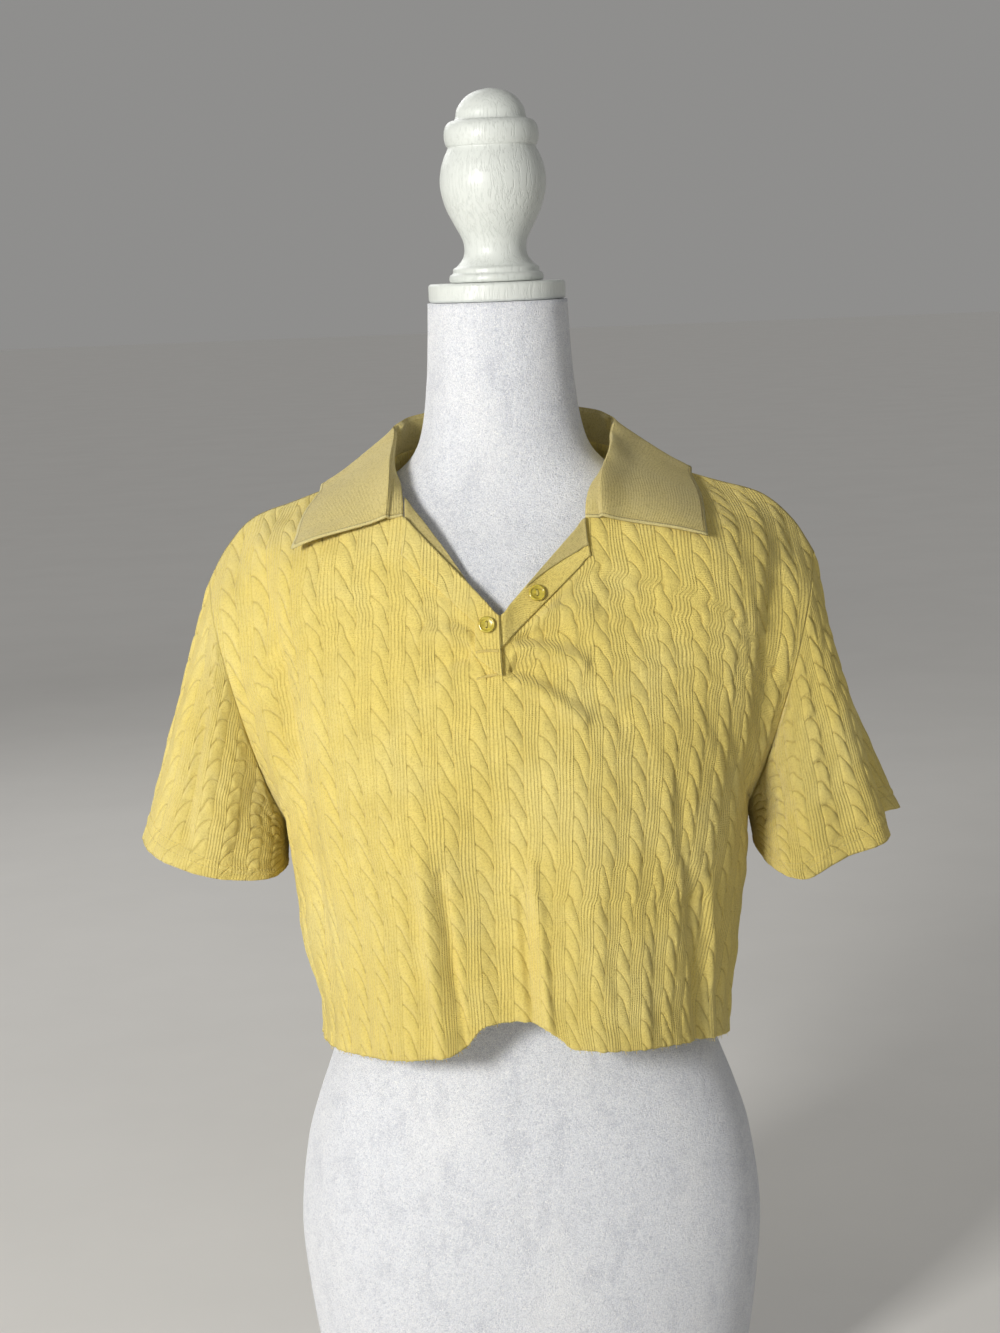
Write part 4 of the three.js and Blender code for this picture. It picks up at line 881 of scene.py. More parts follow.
class Signal:
    """A node's output that takes part in Python expressions."""

    def __init__(self, shader: "NodeBook", socket: bpy.types.NodeSocket) -> None:
        """Keeps the socket and the tree that it belongs to."""
        self.shader = shader
        self.socket = socket

    def math(self, operation: str, *others: Any, clamp: bool = False) -> "Signal":
        """A Math node on this value and others."""
        values = dict(enumerate((self, *others)))
        return self.shader.node("ShaderNodeMath", {"operation": operation, "use_clamp": clamp}, values)

    def __add__(self, other: Any) -> "Signal":
        """The sum."""
        return self.math("ADD", other)

    __radd__ = __add__

    def __mul__(self, other: Any) -> "Signal":
        """The product."""
        return self.math("MULTIPLY", other)

    __rmul__ = __mul__

    def __sub__(self, other: Any) -> "Signal":
        """The difference."""
        return self.math("SUBTRACT", other)

    def __rsub__(self, other: Any) -> "Signal":
        """The reflected difference."""
        return self.shader.node("ShaderNodeMath", {"operation": "SUBTRACT"}, {0: other, 1: self})

    def __truediv__(self, other: Any) -> "Signal":
        """The quotient."""
        return self.math("DIVIDE", other)

    def __pow__(self, other: Any) -> "Signal":
        """The power."""
        return self.math("POWER", other)

    def wrap(self, period: float) -> "Signal":
        """The remainder within a period, never negative."""
        return self.math("FLOORED_MODULO", period)

    def size(self) -> "Signal":
        """The value without its sign."""
        return self.math("ABSOLUTE")

    def sine(self) -> "Signal":
        """The sine of the value."""
        return self.math("SINE")

    def also(self, output: str) -> "Signal":
        """Another output of the same node."""
        return Signal(self.shader, self.socket.node.outputs[output])

    def between(self, low: float, high: float) -> "Signal":
        """A smooth climb from 0 at low to 1 at high, or down where high is the lower."""
        start, end, first, last = (low, high, 0.0, 1.0) if low < high else (high, low, 1.0, 0.0)
        values = {"Value": self, "From Min": start, "From Max": end, "To Min": first, "To Max": last}
        return self.shader.node("ShaderNodeMapRange", {"interpolation_type": "SMOOTHSTEP"}, values)


class NodeBook:
    """A tree of nodes that is written in Python."""

    def __init__(self, tree: bpy.types.NodeTree) -> None:
        """Starts with an empty tree."""
        self.tree = tree
        self.tree.nodes.clear()

    def node(self, kind: str, settings: dict[str, Any] | None = None, values: dict[Any, Any] | None = None,
             output: Any = 0) -> Signal:
        """Adds a node.

        Args:
            kind: the node's type.
            settings: its settings, which are set first.
            values: numbers, colours or signals by socket.
            output: the socket that is returned.

        Returns:
            The chosen output.
        """
        node = self.tree.nodes.new(kind)
        for name, setting in (settings or {}).items():
            setattr(node, name, setting)
        for name, value in (values or {}).items():
            if isinstance(value, Signal):
                self.tree.links.new(value.socket, node.inputs[name])
            else:
                node.inputs[name].default_value = value
        return Signal(self, node.outputs[output])


class Shader(NodeBook):
    """A material, written as a tree of nodes."""

    def __init__(self, name: str) -> None:
        """Starts an empty material."""
        self.material = bpy.data.materials.new(name)
        self.material.use_nodes = True
        super().__init__(self.material.node_tree)

    def mix(self, low: Any, high: Any, factor: Any, blend: str = "MIX") -> Signal:
        """A colour between two."""
        values = {0: factor, 6: low, 7: high}
        return self.node("ShaderNodeMix", {"data_type": "RGBA", "blend_type": blend}, values, output=2)

    def noise(self, vector: Signal, scale: float, detail: float = 2.0, roughness: float = 0.5) -> Signal:
        """Soft noise from 0 to 1."""
        values = {"Vector": vector, "Scale": scale, "Detail": detail, "Roughness": roughness}
        return self.node("ShaderNodeTexNoise", {"noise_dimensions": "3D"}, values)

    def place(self) -> Signal:
        """The piece's Object coordinates, in metres."""
        return self.node("ShaderNodeTexCoord", output="Object")

    def stretched(self, vector: Signal, scale: tuple[float, float, float]) -> Signal:
        """Coordinates scaled along each axis."""
        return self.node("ShaderNodeMapping", None, {"Vector": vector, "Scale": scale})

    def wales(self) -> tuple[Signal, Signal]:
        """The knit's own millimetres across and along its wales."""
        uv = self.node("ShaderNodeUVMap", {"uv_map": UV_NAME})
        return (
            self.node("ShaderNodeSeparateXYZ", None, {0: uv}, "X"),
            self.node("ShaderNodeSeparateXYZ", None, {0: uv}, "Y"),
        )

    def bump(self, height: Signal, distance: float, strength: float = 1.0, below: Signal | None = None) -> Signal:
        """A Bump node on a height of 0 to 1."""
        values: dict[str, Any] = {"Height": height, "Distance": distance, "Strength": strength}
        if below is not None:
            values["Normal"] = below
        return self.node("ShaderNodeBump", None, values)

    def finish(self, **values: Any) -> bpy.types.Material:
        """Ends the material in a Principled surface; names have _ for a space."""
        sockets = {name.replace("_", " "): value for name, value in values.items()}
        surface = self.node("ShaderNodeBsdfPrincipled", None, sockets)
        output = self.tree.nodes.new("ShaderNodeOutputMaterial")
        self.tree.links.new(surface.socket, output.inputs["Surface"])
        return self.material


Colour = tuple[float, float, float, float]
UV_NAME = "wales"
RELIEF_NAME = "relief"


def linear(red: int, green: int, blue: int) -> Colour:
    """A colour in 0 to 255, as the shader's linear values."""
    def channel(value: int) -> float:
        """One channel in linear light."""
        share = value / 255
        return share / 12.92 if share <= 0.04045 else ((share + 0.055) / 1.055) ** 2.4
    return (channel(red), channel(green), channel(blue), 1.0)


@dataclass(frozen=True)
class KnitFinish:
    """Cable jersey in washed yellow cotton, matt and a little fuzzy."""

    name: str = "cable_jersey"
    knit: CableKnit = CableKnit()
    yarn: Colour = linear(240, 218, 122)
    # deep: the darker yarn tone of the flecks and pills, and also the painted shade of the grooves, ditches and hollows
    deep: Colour = linear(184, 152, 58)
    pale: Colour = linear(248, 232, 152)
    wale_width: float = 0.78
    course_height: float = 1.05
    roughness: float = 0.94

    def build(self) -> bpy.types.Material:
        """Makes the material."""
        shader = Shader(self.name)
        u, v = shader.wales()
        knit = self.knit
        x = ((u / knit.pitch + 0.5).wrap(1.0) - 0.5) * knit.pitch
        away = x.size()
        in_cable = away.between(knit.half_width + 0.6, knit.half_width - 0.3)
        across = ((x + knit.half_width) / (2 * knit.half_width)).math("MAXIMUM", 0.001).math("MINIMUM", 1.0)
        phase = ((v + knit.drop * across**knit.sweep) / knit.cell).wrap(1.0)
        lean = knit.drop * knit.sweep / (2 * knit.half_width) * across ** (knit.sweep - 1)
        apart = phase.math("MINIMUM", 1 - phase) * knit.cell / (lean * lean + 1.0) ** 0.5
        groove = apart.between(0.95, 0.1) * in_cable
        ditch = (away - (knit.half_width + 0.2)).size().between(0.9, 0.1)
        rib_width = (knit.pitch - 2 * knit.half_width) / knit.ribs
        rib_phase = (away - knit.half_width) * (2 * math.pi / rib_width) - math.pi / 2
        ribs = (0.5 + 0.5 * rib_phase.sine()) * (1 - in_cable)
        wale = (u * (math.pi / self.wale_width)).sine().size()
        course = (v * (2 * math.pi / self.course_height) + wale * 2.2).sine()
        place = shader.place()
        fuzz = shader.noise(place, 2000.0, 2.0, 0.6)
        pills = shader.noise(place, 620.0, 3.0, 0.65)
        slubs = shader.noise(place, 170.0, 3.0, 0.6)
        height = course * 0.10 + wale * 0.18 + fuzz * 0.42 + pills * 0.42 + slubs * 0.45
        height = height + ribs * 0.42 - groove * 0.4 - ditch * 0.15
        normal = shader.bump(height, 0.00135, 1.0)
        cloud = shader.noise(place, 14.0, 4.0, 0.55)
        flecks = shader.noise(place, 800.0, 2.0, 0.6)
        relief = shader.node("ShaderNodeAttribute", {"attribute_name": RELIEF_NAME}, None, "Fac")
        colour = shader.mix(self.yarn, self.pale, cloud.between(0.42, 0.72) * 0.5)
        colour = shader.mix(colour, self.deep, flecks.between(0.46, 0.72) * 0.26 + pills.between(0.5, 0.3) * 0.16)
        # painted shade: darker in the cables' grooves, in the ditches beside the cables, where the relief sinks, and
        # between the ribs
        shade = relief.between(-0.02, -0.5) * 0.2 + groove * 0.24 + ditch * 0.05 + (1 - ribs) * (1 - in_cable) * 0.1
        colour = shader.mix(colour, self.deep, shade.math("MINIMUM", 0.7))
        return shader.finish(
            Base_Color=colour, Roughness=self.roughness, Normal=normal,
            Sheen_Weight=0.3, Sheen_Roughness=0.45, Sheen_Tint=linear(255, 248, 222),
            Specular_IOR_Level=0.2,
        )


@dataclass(frozen=True)
class FlatKnitFinish:
    """Fine flat knit of the collar, duller than the jersey; its rolled edge is painted paler as a highlight, with a
    painted shade line inside it.
    """

    name: str = "flat_knit"
    yarn: Colour = linear(226, 208, 134)
    deep: Colour = linear(182, 160, 88)
    pale: Colour = linear(236, 222, 160)
    # edge: the paler tone painted along the rolled edge as a highlight
    edge: Colour = linear(240, 226, 158)
    roughness: float = 0.95
    edge_lines: bool = True

    def build(self) -> bpy.types.Material:
        """Makes the material; the net's relief attribute is the distance from the edge in millimetres."""
        shader = Shader(self.name)
        place = shader.place()
        from_edge = shader.node("ShaderNodeAttribute", {"attribute_name": RELIEF_NAME}, None, "Fac")
        u, v = shader.wales()
        wale = (u * (math.pi / 0.85)).sine().size()
        course = (v * (2 * math.pi / 1.15) + wale * 2.0).sine()
        fuzz = shader.noise(place, 1700.0, 2.0, 0.6)
        cloud = shader.noise(place, 26.0, 4.0, 0.6)
        flecks = shader.noise(place, 700.0, 3.0, 0.65)
        colour = shader.mix(self.yarn, self.pale, cloud.between(0.4, 0.75) * 0.4)
        # the flecks are darker yarn; the furrows between the wales get painted shade
        colour = shader.mix(colour, self.deep, flecks.between(0.46, 0.66) * 0.45 + (1 - wale) * 0.1)
        height = fuzz * 0.5 + wale * 0.25 + course * 0.16 + flecks * 0.4
        if self.edge_lines:
            # painted highlight on the rolled edge bead, and painted shade in the groove line just inside it
            edge = from_edge.between(1.5, 1.0)
            line = (from_edge - 2.1).size().between(0.55, 0.1)
            colour = shader.mix(colour, self.edge, edge * 0.75)
            colour = shader.mix(colour, self.deep, line * 0.55)
            height = height - line * 0.6 + edge * 0.3
        normal = shader.bump(height, 0.0011, 1.0)
        return shader.finish(
            Base_Color=colour, Roughness=self.roughness, Normal=normal,
            Sheen_Weight=0.2, Sheen_Roughness=0.5, Specular_IOR_Level=0.2,
        )


@dataclass(frozen=True)
class ButtonFinish:
    """Translucent olive-yellow polyester, polished."""

    name: str = "button_resin"
    resin: Colour = linear(196, 178, 66)
    dark: Colour = linear(130, 112, 26)

    def build(self) -> bpy.types.Material:
        """Makes the material."""
        shader = Shader(self.name)
        place = shader.place()
        veins = shader.noise(shader.stretched(place, (1.0, 1.0, 3.0)), 260.0, 4.0, 0.6)
        scuffs = shader.noise(place, 1500.0, 3.0, 0.6)
        colour = shader.mix(self.resin, self.dark, veins.between(0.35, 0.7) * 0.7)
        return shader.finish(
            Base_Color=colour, Roughness=scuffs * 0.18 + 0.12, Normal=shader.bump(scuffs, 0.00006, 0.5),
            Coat_Weight=0.6, Coat_Roughness=0.08, Subsurface_Weight=0.25,
            Subsurface_Radius=(0.004, 0.003, 0.0008), Subsurface_Scale=0.6,
        )


@dataclass(frozen=True)
class VelvetFinish:
    """White crushed velvet: short pile pressed in all directions, with fine glints painted white into its colour."""

    name: str = "crushed_velvet"
    pile: Colour = linear(228, 231, 238)
    shade: Colour = linear(186, 190, 202)
    light: Colour = linear(255, 255, 255)

    def build(self) -> bpy.types.Material:
        """Makes the material."""
        shader = Shader(self.name)
        place = shader.place()
        swirl = shader.noise(place, 9.0, 3.0, 0.5)
        bent = shader.node(
            "ShaderNodeVectorMath", {"operation": "ADD"},
            {0: place, 1: shader.node("ShaderNodeVectorMath", {"operation": "SCALE"}, {0: swirl, "Scale": 0.03})},
        )
        crush = shader.noise(shader.stretched(bent, (1.0, 1.0, 0.55)), 75.0, 5.0, 0.68)
        patches = shader.noise(shader.stretched(bent, (1.0, 1.0, 0.5)), 14.0, 3.0, 0.55)
        grain = shader.noise(place, 1250.0, 2.0, 0.7)
        nap = shader.noise(place, 430.0, 3.0, 0.72)
        painted_glint = shader.noise(place, 2300.0, 0.0, 0.5)
        colour = shader.mix(self.pile, self.shade, crush.between(0.52, 0.34) * 0.5)
        colour = shader.mix(colour, self.shade, nap.between(0.5, 0.36) * 0.6)
        colour = shader.mix(colour, self.light, patches.between(0.5, 0.72) * 0.35)
        colour = shader.mix(colour, self.shade, grain.between(0.55, 0.3) * 0.8)
        # painted glints: tiny spots mixed to white in the base colour, and made glossier in the roughness
        colour = shader.mix(colour, self.light, painted_glint.between(0.54, 0.66) * 1.0)
        height = crush * 0.4 + nap * 0.6 + grain * 0.5 + patches * 0.2 + painted_glint * 0.35
        return shader.finish(
            Base_Color=colour, Roughness=0.78 - painted_glint.between(0.6, 0.72) * 0.4,
            Normal=shader.bump(height, 0.0022, 0.75),
            Sheen_Weight=0.55, Sheen_Roughness=0.35, Specular_IOR_Level=0.35,
        )


@dataclass(frozen=True)
class PaintedWoodFinish:
    """White satin paint over open wood grain, with faint worn patches scattered at random."""

    name: str = "painted_wood"
    paint: Colour = linear(214, 218, 213)
    shade: Colour = linear(200, 205, 200)
    worn: Colour = linear(206, 200, 184)

    def build(self) -> bpy.types.Material:
        """Makes the material."""
        shader = Shader(self.name)
        place = shader.place()
        sway = shader.noise(shader.stretched(place, (1.0, 1.0, 0.35)), 22.0, 3.0, 0.6)
        bent = shader.node(
            "ShaderNodeVectorMath", {"operation": "ADD"},
            {0: place, 1: shader.node("ShaderNodeVectorMath", {"operation": "SCALE"}, {0: sway, "Scale": 0.02})},
        )
        grain = shader.noise(shader.stretched(bent, (1.0, 1.0, 0.09)), 620.0, 4.0, 0.65)
        pores = grain.between(0.5, 0.36)
        fine = shader.noise(shader.stretched(bent, (1.0, 1.0, 0.2)), 1500.0, 2.0, 0.6)
        dirt = shader.noise(place, 45.0, 4.0, 0.6)
        colour = shader.mix(self.paint, self.shade, pores * 0.16)
        colour = shader.mix(colour, self.worn, dirt.between(0.62, 0.8) * 0.25)
        height = 1 - pores * 0.8 + fine * 0.12
        return shader.finish(
            Base_Color=colour, Roughness=0.36 + pores * 0.2 + fine * 0.08,
            Normal=shader.bump(height, 0.0003, 0.8), Coat_Weight=0.25, Coat_Roughness=0.25,
        )


@dataclass(frozen=True)
class ThreadFinish:
    """Sewing thread: a twisted strand with a low sheen."""

    name: str
    thread: Colour
    deep: Colour

    def build(self) -> bpy.types.Material:
        """Makes the material."""
        shader = Shader(self.name)
        place = shader.place()
        twist = (shader.node("ShaderNodeVectorMath", {"operation": "DOT_PRODUCT"},
                             {0: place, 1: (5200.0, 2600.0, 6400.0)}, "Value")).sine()
        fleck = shader.noise(place, 900.0, 2.0, 0.5)
        # painted shade: darker in the hollows of the twist; the flecks are real tone
        colour = shader.mix(self.thread, self.deep, twist.between(0.2, -0.9) * 0.35 + fleck * 0.2)
        return shader.finish(
            Base_Color=colour, Roughness=0.7, Normal=shader.bump(twist, 0.00012, 0.6),
            Sheen_Weight=0.2, Specular_IOR_Level=0.3,
        )


@dataclass(frozen=True)
class StudioFinish:
    """Matt pale paper of the floor."""

    name: str = "studio_paper"
    paper: Colour = linear(224, 222, 218)
    shade: Colour = linear(214, 212, 208)
    near: Colour = (0.0, 0.0, 0.0, 1.0)
    far: Colour = (0.068, 0.0675, 0.067, 1.0)

    def build(self) -> bpy.types.Material:
        """Makes the material; far off the paper glows with painted light up to the tone of the air, so that no horizon
        shows.
        """
        shader = Shader(self.name)
        spot = shader.place()
        grain = shader.noise(spot, 4.0, 4.0, 0.6)
        away = shader.node("ShaderNodeVectorMath", {"operation": "LENGTH"}, {0: spot}, "Value")
        # painted light: emission that grows with distance from the centre
        glow = shader.mix(self.near, self.far, away.between(0.8, 5.0))
        colour = shader.mix(self.paper, self.shade, grain)
        return shader.finish(Base_Color=colour, Roughness=0.9, Emission_Color=glow, Emission_Strength=1.0)


def new_mesh(name: str, points: np.ndarray, loops: np.ndarray, sizes: np.ndarray) -> bpy.types.Mesh:
    """A smooth mesh from points in millimetres, the corners of its faces in a row, and each face's count."""
    mesh = bpy.data.meshes.new(name)
    mesh.vertices.add(len(points))
    mesh.vertices.foreach_set("co", (points * MM).astype(np.float32).ravel())
    mesh.loops.add(len(loops))
    mesh.loops.foreach_set("vertex_index", loops.astype(np.int32))
    mesh.polygons.add(len(sizes))
    mesh.polygons.foreach_set("loop_start", np.concatenate([[0], np.cumsum(sizes)[:-1]]).astype(np.int32))
    mesh.update(calc_edges=True)
    mesh.shade_smooth()
    return mesh


def place(name: str, mesh: bpy.types.Mesh, material: bpy.types.Material | None = None) -> bpy.types.Object:
    """Puts a mesh in the scene as an object at the origin."""
    piece = bpy.data.objects.new(name, mesh)
    bpy.context.scene.collection.objects.link(piece)
    if material is not None:
        mesh.materials.clear()
        mesh.materials.append(material)
    return piece


def settle(piece: bpy.types.Object, slot: str, *nodes: str) -> bpy.types.Object:
    """Makes a piece ride with the object and lets it stand for CAD nodes."""
    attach(piece, ROOT_BODY)
    if nodes:
        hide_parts(*nodes)
    log.info("%s: %d faces", piece.name, len(piece.data.polygons))
    return piece


@dataclass
class Wall:
    """A closed thin wall of cloth: a fine outer face, a coarser inner face, and the rims between them.

    Both faces are fine grids of points in millimetres; the inner one keeps every stride-th point. The mask
    has a place for each inner cell, and wales holds the knit's own millimetres at each point; it has one more
    column where the cloth is wrapped.
    """

    name: str
    outer: np.ndarray
    inner: np.ndarray
    mask: np.ndarray
    relief: np.ndarray
    wales: np.ndarray
    stride: tuple[int, int]
    flipped: bool = False
    wrapped: bool = False

    def quads(self, i: np.ndarray, j: np.ndarray, step: tuple[int, int], layer: int) -> np.ndarray:
        """The corners (layer, column, row) of cells, anticlockwise as seen from outside the wall."""
        ring = ((0, 0), (step[0], 0), step, (0, step[1]))
        corners = np.stack([np.stack([np.full_like(i, layer), i + di, j + dj], -1) for di, dj in ring], 1)
        return corners[:, ::-1] if self.flipped != bool(layer) else corners

    def present(self, i: int, j: int) -> bool:
        """Whether an inner cell is part of the cloth."""
        if self.wrapped:
            i %= self.mask.shape[0]
        return 0 <= i < self.mask.shape[0] and 0 <= j < self.mask.shape[1] and bool(self.mask[i, j])

    def rims(self) -> np.ndarray:
        """Triangles that join the two faces along every open edge."""
        s, t = self.stride
        edges = (((0, 0), (s, 0), (0, -1)), ((s, 0), (s, t), (1, 0)), ((s, t), (0, t), (0, 1)), ((0, t), (0, 0), (-1, 0)))
        found = []
        for i, j in zip(*np.nonzero(self.mask)):
            for low, high, (di, dj) in edges:
                if self.present(i + di, j + dj):
                    continue
                ends = [np.array([i * s + a, j * t + b]) for a, b in (low, high)]
                start, end = ends[::-1] if self.flipped else ends
                count = int(np.abs(end - start).max())
                run = [start + (end - start) * k // count for k in range(count + 1)]
                for k in range(count):
                    anchor = start if k < count // 2 else end
                    found.append(((0, *run[k + 1]), (0, *run[k]), (1, *anchor)))
                found.append(((0, *run[count // 2]), (1, *start), (1, *end)))
        return np.array(found)

    def build(self, material: bpy.types.Material) -> bpy.types.Object:
        """Makes the piece, with its net as the UV map and its relief as an attribute."""
        s, t = self.stride
        fine_cells = np.nonzero(np.kron(self.mask, np.ones(self.stride, int)))
        coarse = np.nonzero(self.mask)
        faces = [
            self.quads(*fine_cells, (1, 1), 0),
            self.quads(coarse[0] * s, coarse[1] * t, self.stride, 1),
            self.rims(),
        ]
        corners = np.concatenate([face.reshape(-1, 3) for face in faces])
        sizes = np.concatenate([np.full(len(face), face.shape[1]) for face in faces])
        columns, rows = self.outer.shape[:2]
        keys = (corners[:, 0] * columns + corners[:, 1] % columns) * rows + corners[:, 2]
        used, loops = np.unique(keys, return_inverse=True)
        points = np.concatenate([self.outer.reshape(-1, 3), self.inner.reshape(-1, 3)])[used]
        relief = np.tile(self.relief.ravel(), 2)[used]
        uv = self.wales[corners[:, 1], corners[:, 2]]
        mesh = new_mesh(self.name, points, loops, sizes)
        mesh.uv_layers.new(name=UV_NAME).data.foreach_set("uv", uv.astype(np.float32).ravel())
        mesh.attributes.new(RELIEF_NAME, "FLOAT", "POINT").data.foreach_set("value", relief.astype(np.float32))
        return place(self.name, mesh, material)


def beyond(at: Any, low: float, high: float, soft: float) -> Any:
    """0 between low and high, and a smooth climb to 1 on both sides."""
    return np.maximum(smooth_step((low - at) / soft), smooth_step((at - high) / soft))


@dataclass
class JerseyPanel:
    """The front or the back: cut in one, cable knit, with a raw hem."""

    facing: Facing
    net: Net
    creases: tuple[Fold, ...]
    knit: CableKnit = CableKnit()
    fine: tuple[int, int] = (8, 6)
    stride: tuple[int, int] = (4, 3)
    form_clearance: float = 1.0
    edge_fade: float = 0.45
    hem_jag: float = 0.9
    hem_roll: float = 0.8
    level_row: int = 10
    lean_right: float = 0.13
    lean_left: float = 0.06
    lean_top: float = 590.0
    base: Net = field(init=False)
    wales: np.ndarray = field(init=False)
    column: np.ndarray = field(init=False)
    row: np.ndarray = field(init=False)

    def __post_init__(self) -> None:
        """Lays the fine creases on the net."""
        fine = self.net.refined(*self.fine)
        count = fine.points.shape
        self.column, self.row = np.meshgrid(
            self.net.first + np.arange(count[0]) / self.fine[0], np.arange(count[1]) / self.fine[1], indexing="ij"
        )
        calm = smooth_step((HALF_COLUMNS - np.abs(self.column)) / 2.0) * smooth_step((ROWS - self.row) / 2.0)
        if self.facing is Facing.FRONT:
            calm = calm * self.off_bands(0.45)
        height = fold_height(self.creases, self.column, self.row, COLUMN_WIDTH, ROW_HEIGHT) * calm
        height = height + 0.5 * drift(self.column * COLUMN_WIDTH, self.row * ROW_HEIGHT, 11) * calm
        fine.points = clear_of_form(fine.points + fine.normals * height[..., None], self.form_clearance)
        self.base = fine
        self.wales = self.lay_wales()

    def off_bands(self, soft: float) -> np.ndarray:
        """0 under the placket's bands and 1 off them."""
        placket = np.maximum(beyond(self.column, -2.2, 0.2, soft), beyond(self.row, 23.8, 28.4, soft))
        neck = np.maximum(beyond(self.column, -8.2, 8.2, soft), beyond(self.row, 25.8, 28.4, soft))
        return np.minimum(placket, neck)

    def relief(self) -> np.ndarray:
        """The cables, faded out at the seams and under the bands."""
        edge = np.minimum((HALF_COLUMNS - np.abs(self.column)), (ROWS - self.row) * 1.1)
        fade = smooth_step(edge / self.edge_fade)
        neck = np.where(
            self.row > CORNER_ROW, np.abs(np.abs(self.column) - NECK_COLUMN), 9.0
        ) if self.facing is Facing.FRONT else np.full_like(self.row, 9.0)
        fade = fade * smooth_step(neck / self.edge_fade)
        if self.facing is Facing.FRONT:
            fade = fade * self.off_bands(0.4)
        return self.knit.relief(self.wales[..., 0], self.wales[..., 1]) * fade

    def lay_wales(self) -> np.ndarray:
        """The knit's millimetres: across from the middle, and up from the courses that hang level."""
        points = self.base.points
        middle, level = HALF_COLUMNS * self.fine[0], self.level_row * self.fine[1]
        across = np.diff(points, axis=0)
        u = np.concatenate([np.zeros((1, points.shape[1])), np.cumsum(np.hypot(across[..., 0], across[..., 1]), 0)])
        u = u - u[middle] + points[middle, :, 0]
        along = np.diff(points, axis=1)
        v = np.concatenate([np.zeros((points.shape[0], 1)), np.cumsum(np.hypot(along[..., 1], along[..., 2]), 1)], 1)
        v = v - v[:, level : level + 1] + points[:, level : level + 1, 2]
        below = np.maximum(self.lean_top - v, 0)
        u = u + self.lean_right * below * smooth_step((u + 10) / 150) - self.lean_left * below * smooth_step(-u / 150)
        return np.stack([u + 1.1 * drift(u, v, 61), v + 1.7 * drift(u, v, 62)], -1)

    def mask(self) -> np.ndarray:
        """The net's cells that are cloth: the front is open above the V."""
        cells = np.ones((2 * HALF_COLUMNS, ROWS), int)
        if self.facing is Facing.FRONT:
            cells[HALF_COLUMNS - NECK_COLUMN : HALF_COLUMNS + NECK_COLUMN, CORNER_ROW:] = 0
        return np.kron(cells, np.ones((self.fine[0] // self.stride[0], self.fine[1] // self.stride[1]), int))

    def build(self, name: str, material: bpy.types.Material) -> bpy.types.Object:
        """Makes the panel with its cables and its raw hem."""
        relief = self.relief()
        outer = self.base.points + self.base.normals * (WALL + relief)[..., None]
        inner = self.base.points.copy()
        column = self.column[:, 0]
        jag = self.hem_jag * (0.6 * ripple(column * 1.7, 5 + self.facing.value, 12, 1.0, 9.0))
        jag += self.hem_jag * 0.55 * np.abs(np.sin(column * math.pi)) - 0.3
        weight = smooth_step(1 - self.row[0] / 0.6)
        for grid in (outer, inner):
            grid[..., 2] += jag[:, None] * weight[None, :]
        roll = self.hem_roll * ripple(column * 0.8, 21 + self.facing.value)
        shift = self.base.normals * (roll[:, None] * smooth_step(1 - self.row / 0.9))[..., None]
        wall = Wall(
            name, outer + shift, inner + shift, self.mask(), relief, self.wales, self.stride,
            flipped=self.facing is Facing.BACK,
        )
        return wall.build(material)

    def hem_line(self) -> np.ndarray:
        """The middle of the cut edge, as points in millimetres."""
        return (self.base.points + self.base.normals * WALL * 0.5)[:, 0]


